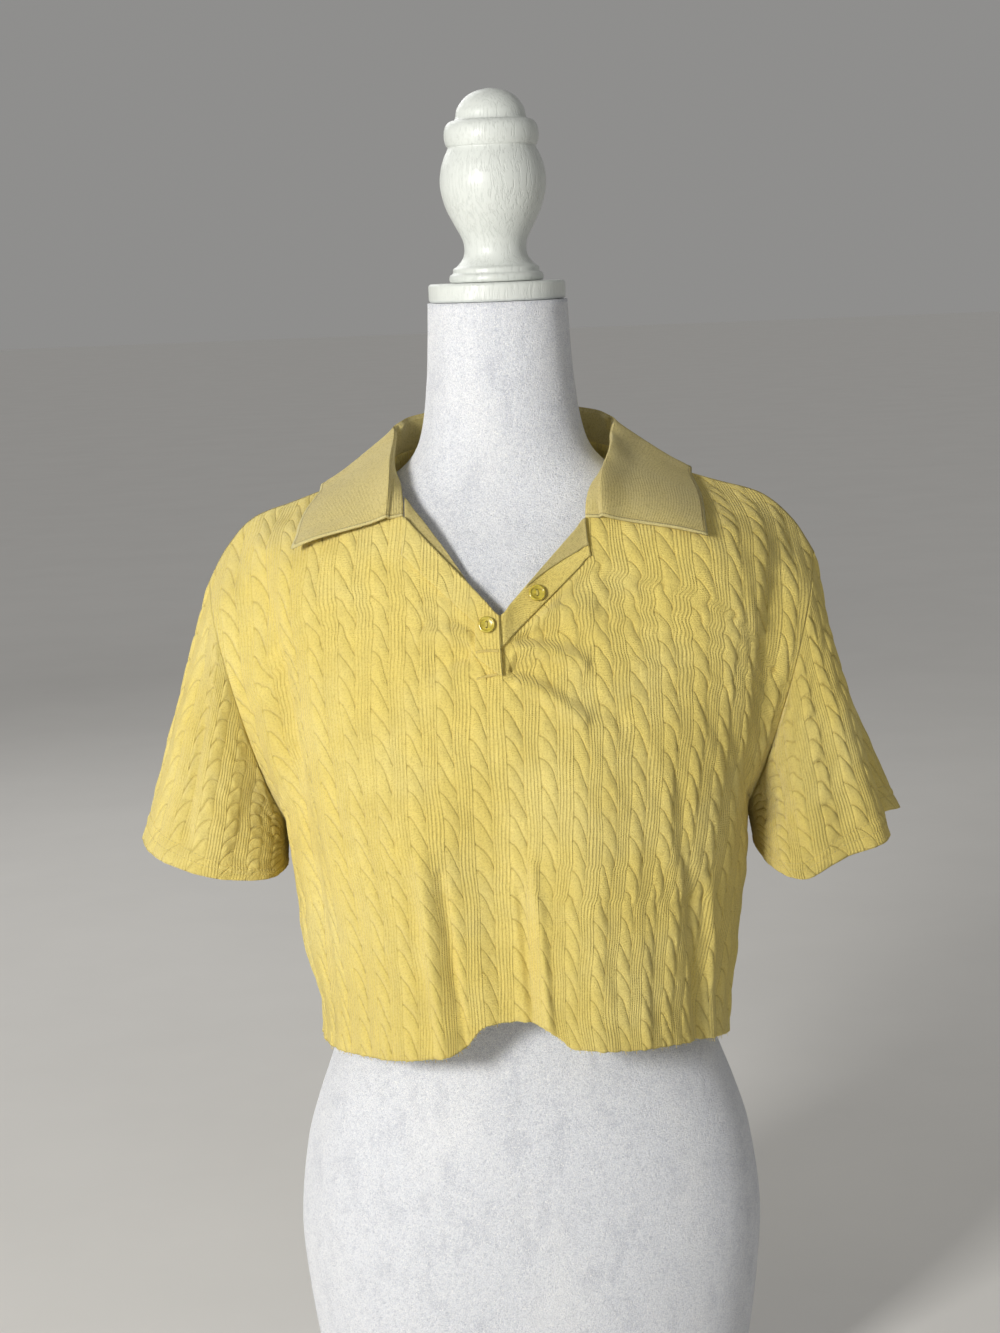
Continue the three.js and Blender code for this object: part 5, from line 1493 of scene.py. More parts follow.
@dataclass
class JerseySleeve:
    """A short dropped sleeve with a turned cuff held by two rows of stitches."""

    side: Side
    net: Net
    knit: CableKnit = CableKnit()
    fine: tuple[int, int] = (8, 6)
    stride: tuple[int, int] = (4, 3)
    row_height: float = 13.0
    hem_lines: tuple[float, float] = (10.0, 17.6)
    cables: int = 14
    base: Net = field(init=False)
    step: np.ndarray = field(init=False)
    row: np.ndarray = field(init=False)

    def __post_init__(self) -> None:
        """Lays the fine creases on the net."""
        fine = self.net.refined(*self.fine)
        count = fine.points.shape
        self.step, self.row = np.meshgrid(
            np.arange(count[0]) / self.fine[0], np.arange(count[1]) / self.fine[1], indexing="ij"
        )
        calm = smooth_step(self.row / 2.5) * smooth_step(np.minimum(self.step, LOOP_STEPS - self.step) / 3.5)
        height = fold_height(
            SLEEVE_CREASES[self.side.name], self.step, self.row, SLEEVE_STEP_WIDTH, SLEEVE_ROW_HEIGHT
        )
        height = height + 0.4 * drift(self.step * 8.0, self.row * self.row_height, 31)
        fine.points = fine.points + fine.normals * (height * calm)[..., None]
        self.base = fine

    def above_edge(self) -> np.ndarray:
        """The height over the cuff's edge in millimetres."""
        return (SLEEVE_ROWS - self.row) * self.row_height * 0.98

    def relief(self) -> np.ndarray:
        """The cables, faded at the seam, pressed flat in the cuff and pulled in by its stitches."""
        lower, upper = self.hem_lines
        above = self.above_edge()
        underarm = np.minimum(self.step, LOOP_STEPS - self.step)
        fade = smooth_step(self.row / 0.5) * smooth_step(underarm / 0.7)
        pressed = 0.55 + 0.45 * smooth_step((above - upper - 1) / 4)
        turned = 0.45 * smooth_step((upper + 0.5 - above) / 1.2)
        pull = sum(np.exp(-(((above - line) / 1.0) ** 2)) for line in self.hem_lines)
        puff = 0.25 * np.exp(-(((above - (lower + upper) / 2) / 2.2) ** 2))
        wales = self.lay_wales()[:-1]
        return (self.knit.relief(wales[..., 0], wales[..., 1]) * fade * pressed + turned + puff) - 0.8 * pull

    def lay_wales(self) -> np.ndarray:
        """The knit's millimetres round the sleeve and up along it, with a last column for the seam's other side."""
        steps = np.arange(len(self.step) + 1) / self.fine[0]
        u = steps / LOOP_STEPS * self.cables * self.knit.pitch
        v = self.above_edge()[0]
        u, v = np.meshgrid(u, v, indexing="ij")
        calm = smooth_step(np.minimum(u, u[-1:] - u) / 30)
        return np.stack([u + 1.1 * drift(u, v, 63) * calm, v + 1.7 * drift(u, v, 64) * calm], -1)

    def build(self, name: str, material: bpy.types.Material) -> bpy.types.Object:
        """Makes the sleeve."""
        relief = self.relief()
        outer = self.base.points + self.base.normals * (WALL + relief)[..., None]
        cells = (LOOP_STEPS * self.fine[0] // self.stride[0], SLEEVE_ROWS * self.fine[1] // self.stride[1])
        wall = Wall(
            name, outer, self.base.points, np.ones(cells, int), relief, self.lay_wales(), self.stride,
            flipped=self.side.sign > 0, wrapped=True,
        )
        return wall.build(material)

    def stitch_lines(self) -> list[np.ndarray]:
        """The two rows of the cuff's stitches, as closed loops of points in millimetres."""
        lines = []
        for above in self.hem_lines:
            at = (SLEEVE_ROWS - above / (self.row_height * 0.98)) * self.fine[1]
            low = int(at)
            points = self.base.points + self.base.normals * (WALL + self.relief() + 0.12)[..., None]
            line = points[:, low] + (points[:, low + 1] - points[:, low]) * (at - low)
            lines.append(np.vstack([line, line[:1]]))
        return lines


@dataclass
class Collar:
    """A flat knitted collar with finished edges; its left leaf curls at the front."""

    net: Net
    thickness: float = 1.6
    fine: tuple[int, int] = (8, 6)
    stride: tuple[int, int] = (4, 3)
    curl: float = 4.5
    curl_steps: float = 1.7
    ripple_height: float = 0.5

    def build(self, name: str, material: bpy.types.Material) -> bpy.types.Object:
        """Makes the collar, with the distance from its finished edges as its relief."""
        fine = self.net.refined(*self.fine)
        columns, rows = fine.points.shape[:2]
        stop, part = np.meshgrid(np.arange(columns) / self.fine[0], np.arange(rows) / self.fine[1], indexing="ij")
        last_stop, last_part = stop[-1, 0], part[0, -1]
        fallen = smooth_step((part - 4.5) / (last_part - 4.5))
        height = self.curl * smooth_step(1 - stop / self.curl_steps) ** 1.5 * fallen
        height += 2.2 * smooth_step(1 - stop / 6.0) * smooth_step((part - 7.2) / 1.8)
        height += 1.1 * smooth_step(1 - (last_stop - stop) / 2.0) * smooth_step((part - 7.0) / 2.0)
        height += self.ripple_height * (0.5 + 0.5 * ripple(stop * 0.9, 41)) * smooth_step((part - 6.0) / 3.0)
        points = fine.points + fine.normals * height[..., None]
        along = np.linalg.norm(np.diff(points, axis=0), axis=2)
        down = np.linalg.norm(np.diff(points, axis=1), axis=2)
        zero = np.zeros((1, rows))
        from_left = np.concatenate([zero, np.cumsum(along, 0)])
        from_right = from_left[-1:] - from_left
        from_seam = np.concatenate([np.zeros((columns, 1)), np.cumsum(down, 1)], 1)
        from_edge = from_seam[:, -1:] - from_seam
        distance = np.minimum(np.minimum(from_left, from_right), from_edge)
        bead = 0.35 * np.exp(-(((distance - 1.0) / 0.8) ** 2)) - 0.3 * np.exp(-(((distance - 2.4) / 0.6) ** 2))
        outer = points + fine.normals * bead[..., None]
        inner = points - fine.normals * self.thickness
        cells = ((columns - 1) // self.stride[0], (rows - 1) // self.stride[1])
        wales = np.stack([from_left, from_seam], -1)
        wall = Wall(name, outer, inner, np.ones(cells, int), distance, wales, self.stride)
        return wall.build(material)


class Lap(Enum):
    """Which band of the placket lies on top."""

    OVER = "over"
    UNDER = "under"


@dataclass
class PlacketBand:
    """A band along one edge of the V and down the slit."""

    lap: Lap
    front: JerseyPanel
    thickness: float = 1.2
    band_rows: int = 2
    band_columns: int = 2
    end_row: int = 24
    climb_columns: int = 2

    def height(self, column: Any) -> Any:
        """The height of the band's outer face over the front's inner face."""
        seat = WALL + SEAM_GAP + self.thickness
        if self.lap is Lap.UNDER:
            return seat + 0.0 * np.asarray(column, float)
        climb = smooth_step((column + self.band_columns + self.climb_columns) / self.climb_columns)
        return seat + climb * (self.thickness + SEAM_GAP)

    def build(self, name: str, material: bpy.types.Material) -> bpy.types.Object:
        """Makes the band on the front's own net."""
        front = self.front
        height = self.height(front.column)
        cells = np.zeros((2 * HALF_COLUMNS, ROWS), int)
        slit = slice(HALF_COLUMNS - self.band_columns, HALF_COLUMNS)
        edge = slice(HALF_COLUMNS - NECK_COLUMN, HALF_COLUMNS)
        if self.lap is Lap.UNDER:
            edge = slice(HALF_COLUMNS, HALF_COLUMNS + NECK_COLUMN)
        cells[slit, self.end_row : CORNER_ROW] = 1
        cells[edge, CORNER_ROW - self.band_rows : CORNER_ROW] = 1
        points, normals = front.base.points, front.base.normals
        from_edge = (CORNER_ROW - front.row) * 9.0
        roll = 0.55 * np.exp(-(((from_edge - 1.3) / 1.1) ** 2)) * smooth_step(np.abs(front.column) / 0.6)
        relief = np.zeros_like(front.row)
        if self.lap is Lap.OVER:
            relief = np.maximum(front.knit.relief(front.wales[..., 0], front.wales[..., 1]), 0) * 0.4
            relief = relief * smooth_step((CORNER_ROW - front.row) / 0.5)
        outer = points + normals * (height + relief + roll)[..., None]
        inner = points + normals * (height - self.thickness)[..., None]
        mask = np.kron(cells, np.ones((front.fine[0] // front.stride[0], front.fine[1] // front.stride[1]), int))
        wall = Wall(name, outer, inner, mask, relief, front.wales, front.stride)
        return wall.build(material)

    def line(self, places: Sequence[tuple[float, float]], lift: float) -> np.ndarray:
        """Points in millimetres on the band's face at places of the net, lifted over it."""
        found = []
        for column, row in places:
            point, normal = self.front.net.between(column, row)
            found.append(point + normal * (float(self.height(column)) + lift))
        return np.array(found)


@dataclass
class EdgeFacing:
    """A strip of the flat-knit facing that shows along an edge of the V.

    Its near edge follows the front's own edge, and its far edge runs from one row to another.
    """

    front: JerseyPanel
    columns: tuple[float, float]
    near_row: float
    far_rows: tuple[float, float]
    lifts: tuple[float, float]
    bend: float
    thickness: float = 0.9
    steps: tuple[int, int] = (48, 12)

    def build(self, name: str, material: bpy.types.Material) -> bpy.types.Object:
        """Makes the strip as a thin closed wall."""
        across, along = self.steps
        base, fine = self.front.base, self.front.fine
        points, normals = np.zeros((across + 1, along + 1, 3)), np.zeros((across + 1, along + 1, 3))
        for i in range(across + 1):
            share = i / across
            column = self.columns[0] + (self.columns[1] - self.columns[0]) * share
            wide = self.far_rows[0] + (self.far_rows[1] - self.far_rows[0]) * share**self.bend
            for j in range(along + 1):
                row = self.near_row + (wide - self.near_row) * j / along
                place_in = ((column + HALF_COLUMNS) * fine[0] + base.first, row * fine[1])
                point, normal = base.between(*place_in)
                lift = self.lifts[0] + (self.lifts[1] - self.lifts[0]) * j / along
                points[i, j] = point + normal * (lift + 0.25 * ripple(share * 9 + j * 0.2, 71))
                normals[i, j] = normal
        u = np.cumsum(np.linalg.norm(np.diff(points, axis=0, prepend=points[:1]), axis=2), 0)
        v = np.cumsum(np.linalg.norm(np.diff(points, axis=1, prepend=points[:, :1]), axis=2), 1)
        flipped = (self.columns[1] > self.columns[0]) != (self.far_rows[1] > self.near_row)
        wall = Wall(
            name, points, points - normals * self.thickness, np.ones((across // 4, along // 3), int),
            np.zeros_like(u), np.stack([u, v], -1), (4, 3), flipped=flipped,
        )
        return wall.build(material)


class Grower(NodeBook):
    """A Geometry Nodes tree that grows repeated things along the lines of a mesh."""

    def __init__(self, name: str) -> None:
        """Starts a tree with a geometry input and output."""
        super().__init__(bpy.data.node_groups.new(name, "GeometryNodeTree"))
        face = self.tree.interface
        face.new_socket(name="Lines", in_out="INPUT", socket_type="NodeSocketGeometry")
        face.new_socket(name="Grown", in_out="OUTPUT", socket_type="NodeSocketGeometry")
        self.inlets: dict[str, str] = {}
        self.entry = self.tree.nodes.new("NodeGroupInput")

    def inlet(self, name: str, kind: str = "NodeSocketFloat") -> Signal:
        """A named input of the tree."""
        socket = self.tree.interface.new_socket(name=name, in_out="INPUT", socket_type=kind)
        self.inlets[name] = socket.identifier
        return Signal(self, self.entry.outputs[name])

    def lines(self) -> Signal:
        """The mesh that the tree is given."""
        return Signal(self, self.entry.outputs["Lines"])

    def outlet(self, grown: Signal, material: Signal) -> None:
        """Ends the tree: real meshes, smooth, in one material."""
        real = self.node("GeometryNodeRealizeInstances", None, {0: grown})
        smooth = self.node("GeometryNodeSetShadeSmooth", None, {"Geometry": real})
        dressed = self.node("GeometryNodeSetMaterial", None, {"Geometry": smooth, "Material": material})
        leave = self.tree.nodes.new("NodeGroupOutput")
        self.tree.links.new(dressed.socket, leave.inputs["Grown"])

    def grow(self, name: str, lines: Sequence[np.ndarray], **values: Any) -> bpy.types.Object:
        """Grows the tree on polylines in millimetres and keeps the result as a plain mesh.

        Args:
            name: the new piece's name.
            lines: the polylines, each with its points in order.
            values: the tree's inputs by name, with _ for a space.

        Returns:
            The new piece.
        """
        mesh = bpy.data.meshes.new(name + "_lines")
        starts = np.cumsum([0] + [len(line) for line in lines])
        edges = [(s + k, s + k + 1) for s, line in zip(starts, lines) for k in range(len(line) - 1)]
        mesh.from_pydata((np.vstack(lines) * MM).tolist(), edges, [])
        carrier = place(name + "_carrier", mesh)
        modifier = carrier.modifiers.new("grow", "NODES")
        modifier.node_group = self.tree
        for key, value in values.items():
            modifier[self.inlets[key.replace("_", " ")]] = value
        graph = bpy.context.evaluated_depsgraph_get()
        grown = bpy.data.meshes.new_from_object(carrier.evaluated_get(graph))
        carrier.modifiers.remove(modifier)
        bpy.data.objects.remove(carrier)
        bpy.data.meshes.remove(mesh)
        grown.name = name
        return place(name, grown)


def stitch_grower() -> Grower:
    """Rows of short raised stitches; Along and Across are a stitch's sizes in metres."""
    grower = Grower("stitch_row")
    spacing, along, across = (grower.inlet(name) for name in ("Spacing", "Along", "Across"))
    deep, material = grower.inlet("Deep"), grower.inlet("Thread", "NodeSocketMaterial")
    curve = grower.node("GeometryNodeMeshToCurve", None, {0: grower.lines()})
    points = grower.node("GeometryNodeCurveToPoints", {"mode": "LENGTH"}, {"Curve": curve, "Length": spacing})
    bead = grower.node("GeometryNodeMeshUVSphere", None, {"Segments": 8, "Rings": 6, "Radius": 0.5})
    size = grower.node("ShaderNodeCombineXYZ", None, {"X": deep, "Y": across, "Z": along})
    values = {"Points": points, "Instance": bead, "Rotation": points.also("Rotation"), "Scale": size}
    grower.outlet(grower.node("GeometryNodeInstanceOnPoints", None, values), material)
    return grower


def fray_grower() -> Grower:
    """Loose yarn ends that stick out of a cut edge, downwards and a little to all sides."""
    grower = Grower("fray")
    spacing, radius = grower.inlet("Spacing"), grower.inlet("Radius")
    seed, material = grower.inlet("Seed", "NodeSocketInt"), grower.inlet("Yarn", "NodeSocketMaterial")
    curve = grower.node("GeometryNodeMeshToCurve", None, {0: grower.lines()})
    points = grower.node("GeometryNodeCurveToPoints", {"mode": "LENGTH"}, {"Curve": curve, "Length": spacing})
    path = grower.node(
        "GeometryNodeCurveQuadraticBezier", None,
        {"Resolution": 6, "Start": (0, 0, 0.0008), "Middle": (0.0007, 0, -0.0012), "End": (-0.0006, 0.0002, -0.0026)},
    )
    section = grower.node("GeometryNodeCurvePrimitiveCircle", None, {"Resolution": 5, "Radius": radius})
    end = grower.node("GeometryNodeCurveToMesh", None, {"Curve": path, "Profile Curve": section, "Fill Caps": True})
    turn = grower.node(
        "FunctionNodeRandomValue", {"data_type": "FLOAT_VECTOR"},
        {0: (-0.75, -0.75, 0.0), 1: (0.75, 0.75, 6.28), "Seed": seed},
    )
    size = grower.node("FunctionNodeRandomValue", {"data_type": "FLOAT"}, {2: 0.35, 3: 1.15, "Seed": seed}, 1)
    kept = grower.node("FunctionNodeRandomValue", {"data_type": "BOOLEAN"}, {"Probability": 0.6, "Seed": seed}, 3)
    values = {"Points": points, "Selection": kept, "Instance": end, "Rotation": turn, "Scale": size}
    grower.outlet(grower.node("GeometryNodeInstanceOnPoints", None, values), material)
    return grower


def lathe(profile: np.ndarray, segments: int, centre_z: float = 0.0) -> tuple[np.ndarray, np.ndarray, np.ndarray]:
    """A closed turned shape from a profile of (height, radius) rows whose ends lie off the axis.

    Returns:
        The points, the corners of the faces in a row, and the number of corners of each face.
    """
    angle = np.arange(segments) * 2 * np.pi / segments
    ring = np.stack([np.cos(angle), np.sin(angle), np.zeros(segments)], -1)
    points = np.concatenate([ring * r + (0, 0, z + centre_z) for z, r in profile])
    ends = [(0, 0, profile[0][0] + centre_z), (0, 0, profile[-1][0] + centre_z)]
    points = np.vstack([points, ends])
    return points, *closed_rings(len(profile), segments)


def closed_rings(levels: int, segments: int) -> tuple[np.ndarray, np.ndarray]:
    """Faces between stacked rings, going up, with a fan to a pole below and above."""
    k, n = np.meshgrid(np.arange(levels - 1), np.arange(segments), indexing="ij")
    ahead = (n + 1) % segments
    sides = np.stack([k * segments + n, k * segments + ahead, (k + 1) * segments + ahead, (k + 1) * segments + n], -1)
    n = np.arange(segments)
    ahead = (n + 1) % segments
    low, high = levels * segments, levels * segments + 1
    below = np.stack([ahead, n, np.full(segments, low)], -1)
    above = np.stack([(levels - 1) * segments + n, (levels - 1) * segments + ahead, np.full(segments, high)], -1)
    loops = np.concatenate([sides.reshape(-1), below.reshape(-1), above.reshape(-1)])
    sizes = np.concatenate([np.full(sides.shape[0] * segments, 4), np.full(2 * segments, 3)])
    return loops, sizes


def rounded_profile(knots: Sequence[tuple[float, float]], steps: int) -> np.ndarray:
    """A smooth line through (height, radius) knots, evenly stepped between each pair."""
    values = np.array(knots, float)
    keys = np.concatenate([[0], np.cumsum(np.hypot(*np.diff(values, axis=0).T))])
    stops = np.concatenate([np.linspace(a, b, steps, endpoint=False) for a, b in zip(keys, keys[1:])] + [keys[-1:]])
    return smooth_read(keys, values, stops)


@dataclass
class DressForm:
    """The limbless form: a velvet torso and neck, a turned cap and a turned finial."""

    levels: int = 230
    around: int = 176
    cap_radius: float = 48.0
    cap_thickness: float = 13.0
    cap_edge: float = 2.4
    cap_z: float = 825.3
    finial_z: float = 838.6
    finial_knots: tuple[tuple[float, float], ...] = (
        (0, 31.6), (0.6, 32.5), (2.5, 33), (5, 32.4), (6.5, 30.4), (9.4, 30), (11.5, 27), (17, 22.8), (23, 21.7),
        (30, 23), (40, 28.2), (52, 33.8), (66, 37), (78, 36), (86, 33.4), (92.2, 30.6), (93.5, 31.6), (97, 32.7),
        (102, 32.9), (107, 31.6), (110, 28.6), (111, 25.2), (118, 23.4), (125, 18.6), (129.5, 12), (131.6, 4),
    )

    def torso(self, name: str, material: bpy.types.Material) -> bpy.types.Object:
        """The torso and neck as rings between flat ends."""
        z = np.linspace(0, NECK_TOP, self.levels)
        angle = np.arange(self.around) * 2 * np.pi / self.around
        cos, sin = np.cos(angle), np.sin(angle)
        reach = (np.abs(cos) ** FORM_POWER + np.abs(sin) ** FORM_POWER) ** (-1 / FORM_POWER)
        half = FORM.read("half", z)[:, None]
        depth = np.where(sin < 0, FORM.read("front", z)[:, None], FORM.read("back", z)[:, None])
        points = np.stack([half * reach * cos, depth * reach * sin, np.repeat(z[:, None], self.around, 1)], -1)
        inset = (points[:1] * (0.9, 0.9, 1), points[-1:] * (0.9, 0.9, 1))
        points = np.concatenate([inset[0], points, inset[1]]).reshape(-1, 3)
        points = np.vstack([points, [(0, 0, 0), (0, 0, NECK_TOP)]])
        return place(name, new_mesh(name, points, *closed_rings(self.levels + 2, self.around)), material)

    def cap(self, name: str, material: bpy.types.Material) -> bpy.types.Object:
        """The disc on the neck, with rounded edges."""
        edge, high = self.cap_edge, self.cap_thickness
        turn = np.linspace(0, np.pi / 2, 7)
        low_edge = np.stack([edge * (1 - np.cos(turn)), self.cap_radius - edge * (1 - np.sin(turn))], -1)
        high_edge = np.stack([high - low_edge[::-1, 0], low_edge[::-1, 1]], -1)
        middle = [(high * k / 4, self.cap_radius) for k in (1, 2, 3)]
        profile = np.vstack([[(0, 20)], [(0, 40)], low_edge, middle, high_edge, [(high, 40)], [(high, 20)]])
        return place(name, new_mesh(name, *lathe(profile, 96, self.cap_z)), material)

    def finial(self, name: str, material: bpy.types.Material) -> bpy.types.Object:
        """The turned knob: a foot, a vase and a banded top."""
        profile = np.vstack([[(0, 16)], rounded_profile(self.finial_knots, 6), [(132, 1.2)]])
        return place(name, new_mesh(name, *lathe(profile, 96, self.finial_z)), material)


@dataclass
class Button:
    """A two-hole button on a band, with the thread that holds it."""

    band: PlacketBand
    column: float
    row: float
    radius: float = 5.7
    thickness: float = 2.6
    dish: float = 0.8
    hole: float = 0.85
    hole_place: float = 1.7
    segments: int = 72
    thread_radius: float = 0.28

    def frame(self) -> Matrix:
        """The button's own axes: +Z off the cloth and +Y up along it."""
        point, normal = self.band.front.net.between(self.column, self.row)
        seat = point + normal * (float(self.band.height(self.column)) + 2 * SEAM_GAP)
        z = Vector(normal)
        x = Vector((0, 0, 1)).cross(z).normalized()
        turn = Matrix((x, z.cross(x), z)).transposed().to_4x4()
        turn.translation = Vector(seat)
        return turn

    def moved(self, points: np.ndarray) -> np.ndarray:
        """Points of the button's own axes, in the frame of the row."""
        turn = np.array(self.frame())
        return points @ turn[:3, :3].T + turn[:3, 3]

    def build(self, name: str, material: bpy.types.Material) -> bpy.types.Object:
        """Turns the button and bores its holes."""
        r, t = self.radius, self.thickness
        knots = (
            (0.0, 0.62 * r), (0.15, 0.72 * r), (t / 3, 0.97 * r), (t / 2, r), (0.78 * t, 0.985 * r), (0.95 * t, 0.93 * r),
            (t, 0.85 * r), (0.97 * t, 0.78 * r), (t - self.dish * 0.8, 0.68 * r), (t - self.dish, 0.58 * r),
        )
        profile = np.vstack([[(0, 0.3 * r)], rounded_profile(knots, 4), [(t - self.dish, 0.25 * r)]])
        disc = place(name, new_mesh(name, *lathe(profile, self.segments)))
        for side in (-1, 1):
            bore = [(-1, self.hole), (self.thickness + 1, self.hole)]
            points, loops, sizes = lathe(np.array(bore, float), 28)
            cutter = place(name + "_bore", new_mesh(name + "_bore", points + (0, side * self.hole_place, 0), loops, sizes))
            cut = disc.modifiers.new("bore", "BOOLEAN")
            cut.operation, cut.solver, cut.object = "DIFFERENCE", "EXACT", cutter
            graph = bpy.context.evaluated_depsgraph_get()
            bored = bpy.data.meshes.new_from_object(disc.evaluated_get(graph))
            disc.modifiers.remove(cut)
            disc.data = bored
            bpy.data.objects.remove(cutter)
        disc.data.name = name
        disc.data.transform(Matrix.Scale(1 / MM, 4))
        disc.data.transform(self.frame())
        disc.data.transform(Matrix.Scale(MM, 4))
        disc.data.set_sharp_from_angle(angle=math.radians(40))
        disc.data.materials.clear()
        disc.data.materials.append(material)
        return disc

    def thread(self, name: str, material: bpy.types.Material) -> bpy.types.Object:
        """Four strands through the holes and over the dish."""
        strands = []
        floor = self.thickness - self.dish
        for offset in (-0.42, -0.14, 0.14, 0.42):
            bow = 0.42 - abs(offset) * 0.4
            y = np.linspace(-1, 1, 13)
            top = floor + bow + 0.22 - 0.28 * y**2
            arch = np.stack([offset * (1 - 0.35 * y**2), y * self.hole_place, top], -1)
            down = [(offset * 0.65, s * self.hole_place, z) for s, z in ((-1, -0.45), (-1, floor * 0.5))]
            up = [(offset * 0.65, s * self.hole_place, z) for s, z in ((1, floor * 0.5), (1, -0.45))]
            strands.append(np.vstack([down, arch, up]))
        return tubes(name, [self.moved(line) for line in strands], self.thread_radius, material)


def tubes(name: str, lines: Sequence[np.ndarray], radius: float, material: bpy.types.Material) -> bpy.types.Object:
    """Round closed-ended tubes along polylines, as one mesh."""
    mesh = bmesh.new()
    sides = 8
    for line in lines:
        run = unit(np.gradient(line, axis=0))
        start = np.cross(run[0], (1.0, 0.2, 0.1))
        across = start / np.linalg.norm(start)
        rings = []
        for point, way in zip(line, run):
            across = unit(across - way * (across @ way))
            other = np.cross(way, across)
            turns = [2 * math.pi * k / sides for k in range(sides)]
            ring = [point + radius * (math.cos(a) * across + math.sin(a) * other) for a in turns]
            rings.append([mesh.verts.new(Vector(p) * MM) for p in ring])
        for low, high in zip(rings, rings[1:]):
            for k in range(sides):
                mesh.faces.new((low[k], low[(k + 1) % sides], high[(k + 1) % sides], high[k]))
        mesh.faces.new(rings[0][::-1])
        mesh.faces.new(rings[-1])
    data = bpy.data.meshes.new(name)
    mesh.to_mesh(data)
    mesh.free()
    data.shade_smooth()
    return place(name, data, material)


@dataclass
class Studio:
    """A plain pale floor, soft lights and the camera of the photograph."""

    lens: float = 64.8
    pitch: float = 9.5
    roll: float = 2.2
    eye: tuple[float, float, float] = (-0.008, -1.7, 0.85)
    floor_half: float = 30.0

    def camera(self) -> None:
        """Sets the camera at the photograph's angle."""
        data = bpy.data.cameras.new("photo_camera")
        data.lens, data.sensor_width, data.sensor_fit = self.lens, 36.0, "AUTO"
        camera = bpy.data.objects.new("photo_camera", data)
        bpy.context.scene.collection.objects.link(camera)
        pitch, roll = math.radians(self.pitch), math.radians(self.roll)
        ahead = Vector((0, math.cos(pitch), -math.sin(pitch)))
        right = Vector((1, 0, 0))
        up = right.cross(ahead)
        leaned_up = up * math.cos(roll) + right * math.sin(roll)
        leaned_right = right * math.cos(roll) - up * math.sin(roll)
        pose = Matrix((leaned_right, leaned_up, -ahead)).transposed().to_4x4()
        pose.translation = self.eye
        camera.matrix_world = pose
        bpy.context.scene.camera = camera

    def floor(self) -> None:
        """The floor that the form stands on."""
        half = self.floor_half
        data = bpy.data.meshes.new("studio_floor")
        data.from_pydata([(-half, -half, 0), (half, -half, 0), (half, half, 0), (-half, half, 0)], [], [(0, 1, 2, 3)])
        place("studio_floor", data, StudioFinish().build())

    def light(self, name: str, at: tuple[float, float, float], size: float, power: float, tint: Colour) -> None:
        """A square soft light that points at the top."""
        data = bpy.data.lights.new(name, "AREA")
        data.shape, data.size, data.energy, data.color = "SQUARE", size, power, tint[:3]
        lamp = bpy.data.objects.new(name, data)
        bpy.context.scene.collection.objects.link(lamp)
        lamp.location = at
        lamp.rotation_euler = (Vector((0, 0, 0.55)) - Vector(at)).to_track_quat("-Z", "Y").to_euler()

    def build(self) -> None:
        """Lights the scene."""
        self.floor()
        self.light("key", (-1.36, -1.88, 1.2), 0.5, 54.0, (1.0, 0.985, 0.95, 1))
        self.light("fill", (1.9, -1.6, 0.9), 1.6, 1.6, (0.92, 0.96, 1.0, 1))
        self.light("back", (-0.9, 1.9, 2.0), 1.4, 16.0, (1.0, 1.0, 1.0, 1))
        world = bpy.data.worlds.new("studio_air")
        bpy.context.scene.world = world
        world.use_nodes = True
        air = world.node_tree.nodes["Background"]
        air.inputs["Color"].default_value = linear(232, 231, 229)
        air.inputs["Strength"].default_value = 0.34
        bpy.context.scene.view_settings.view_transform = "Standard"


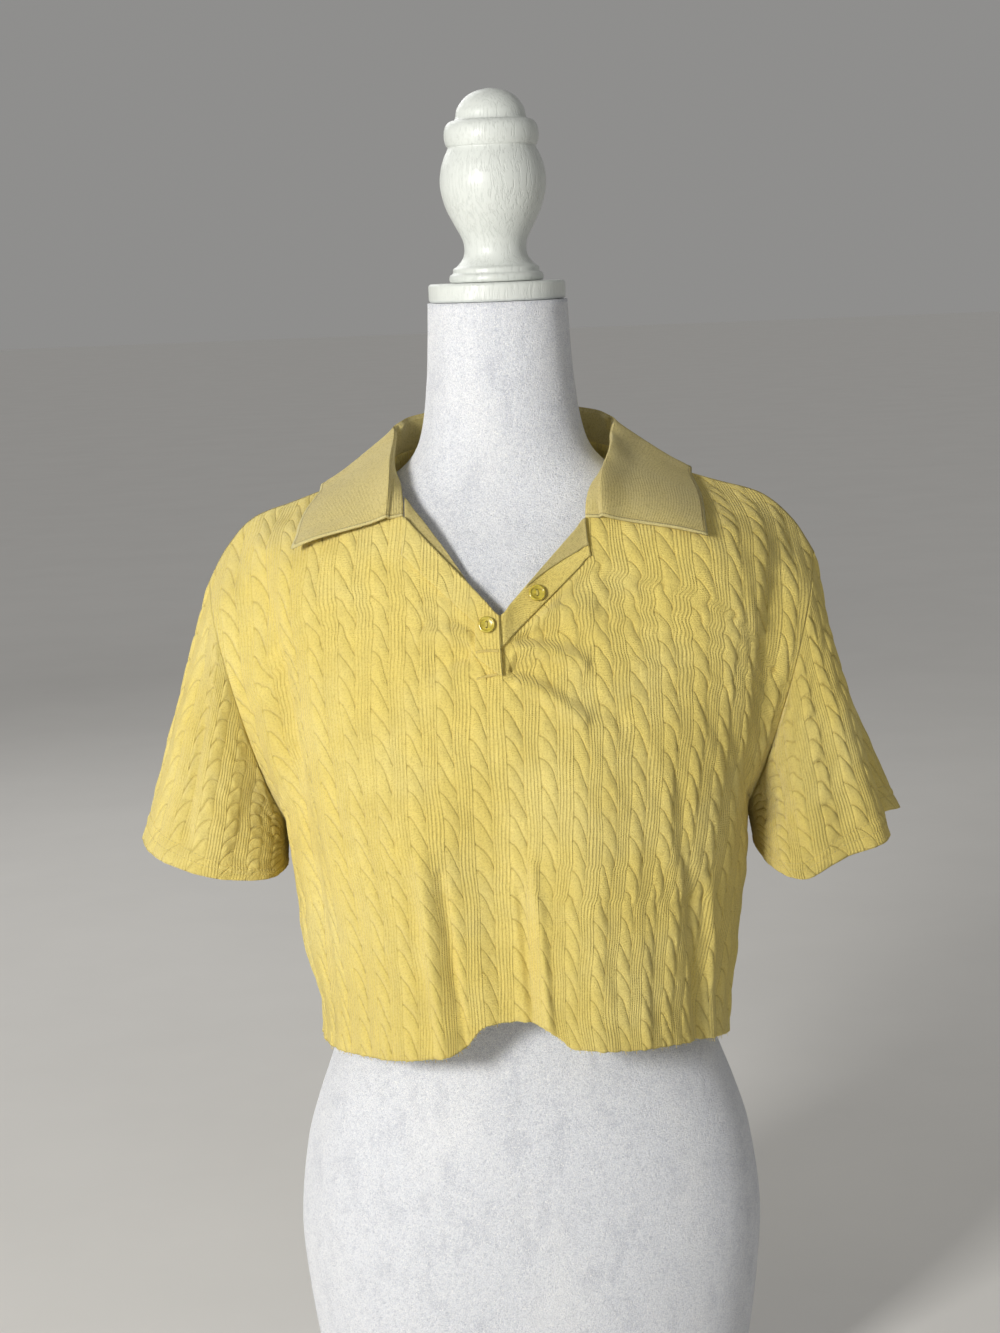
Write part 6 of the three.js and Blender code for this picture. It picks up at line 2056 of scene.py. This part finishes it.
@dataclass
class CropTop:
    """The whole top: panels, sleeves, collar, placket and buttons."""

    pattern: Pattern = field(default_factory=Pattern)
    knit: CableKnit = CableKnit()

    def build(self) -> None:
        """Builds and dresses every piece."""
        jersey = KnitFinish().build()
        flat_knit = FlatKnitFinish().build()
        strip = FlatKnitFinish(
            name="placket_knit", edge_lines=False, yarn=linear(240, 218, 122), pale=linear(250, 234, 152),
            deep=linear(196, 168, 76),
        ).build()
        thread = ThreadFinish("seam_thread", linear(232, 214, 132), linear(178, 150, 70)).build()
        front = JerseyPanel(Facing.FRONT, self.pattern.front, FRONT_CREASES)
        back = JerseyPanel(Facing.BACK, self.pattern.back, BACK_CREASES)
        stitches, frays = stitch_grower(), fray_grower()
        for panel, node, flat, area, seed in ((front, "front", (0.475, 0.43), 0.185, 3), (back, "back", (0.475, 0.43), 0.19, 8)):
            piece = settle(panel.build("jersey_" + node, jersey), "knit", node)
            fray = frays.grow(
                "hem_frays_" + node, [panel.hem_line()], Spacing=2.3 * MM, Radius=0.16 * MM, Seed=seed, Yarn=jersey
            )
            settle(fray, "knit")
        for side, flat, area in ((LEFT, (0.38, 0.195), 0.036), (RIGHT, (0.38, 0.215), 0.041)):
            sleeve = JerseySleeve(side, self.pattern.sleeves[side.name])
            node = "sleeve_" + side.name
            piece = settle(sleeve.build("jersey_" + node, jersey), "knit", node)
            rows = stitches.grow(
                "cuff_stitches_" + side.name, sleeve.stitch_lines(), Spacing=3.0 * MM, Along=2.2 * MM, Across=0.75 * MM,
                Deep=0.7 * MM, Thread=thread,
            )
            settle(rows, "knit")
        collar = settle(Collar(CollarPattern(self.pattern).net()).build("polo_collar", flat_knit), "collar_knit", "collar")
        self.placket(front, jersey, strip, thread, stitches)

    def placket(self, front: JerseyPanel, jersey: bpy.types.Material, strip: bpy.types.Material,
                thread: bpy.types.Material, stitches: Grower) -> None:
        """The two bands, their stitching and their buttons."""
        over, under = PlacketBand(Lap.OVER, front), PlacketBand(Lap.UNDER, front)
        facing_knit = FlatKnitFinish(name="facing_knit", edge_lines=False).build()
        bar_lines = [
            over.line([(-1.95 + 0.21 * k, 24.3 + 0.15 * k) for k in range(9)], 0.55),
            over.line([(-1.95 + 0.19 * k, 22.7 + 0.14 * k) for k in range(9)], 0.6 - over.thickness * 2 - SEAM_GAP * 2),
        ]
        bars = stitches.grow(
            "placket_bars", bar_lines, Spacing=0.55 * MM, Along=0.62 * MM, Across=2.1 * MM, Deep=1.3 * MM, Thread=thread
        )
        settle(bars, "knit")
        for band, node, material, slot, extra in (
            (over, "placket_over", jersey, "knit", [bars]), (under, "placket_under", strip, "collar_knit", []),
        ):
            piece = settle(band.build(node + "_band", material), slot, node)
            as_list(extra)
        inner_strip = EdgeFacing(front, (-2.6, -7.9), 28.02, (28.1, 29.7), (0.9, 0.2), 0.9)
        outer_strip = EdgeFacing(front, (2.4, 7.95), 27.96, (27.86, 26.5), (4.6, 4.4), 1.3)
        for name, strip_piece in (("facing_left", inner_strip), ("facing_right", outer_strip)):
            piece = settle(strip_piece.build(name, facing_knit), "collar_knit")
        resin = ButtonFinish().build()
        sewing = ThreadFinish("button_thread", linear(206, 190, 96), linear(140, 122, 44)).build()
        for name, button in (("lower", Button(over, -1, 26.6)), ("upper", Button(under, 3.3, 26.9))):
            settle(button.build("resin_button_" + name, resin), "button", "button_" + name)
            settle(button.thread("button_thread_" + name, sewing), "knit")


def main() -> None:
    """Builds the whole scene."""
    logging.basicConfig(level=logging.INFO, format="%(name)s %(message)s")
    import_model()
    studio = Studio()
    studio.camera()
    form = DressForm()
    velvet, paint = VelvetFinish().build(), PaintedWoodFinish().build()
    settle(form.torso("velvet_torso", velvet), "velvet", "form")
    settle(form.cap("turned_cap", paint), "painted_wood", "neck_cap")
    settle(form.finial("turned_finial", paint), "painted_wood", "finial")
    CropTop().build()
    studio.build()


if __name__ == "__main__":
    main()
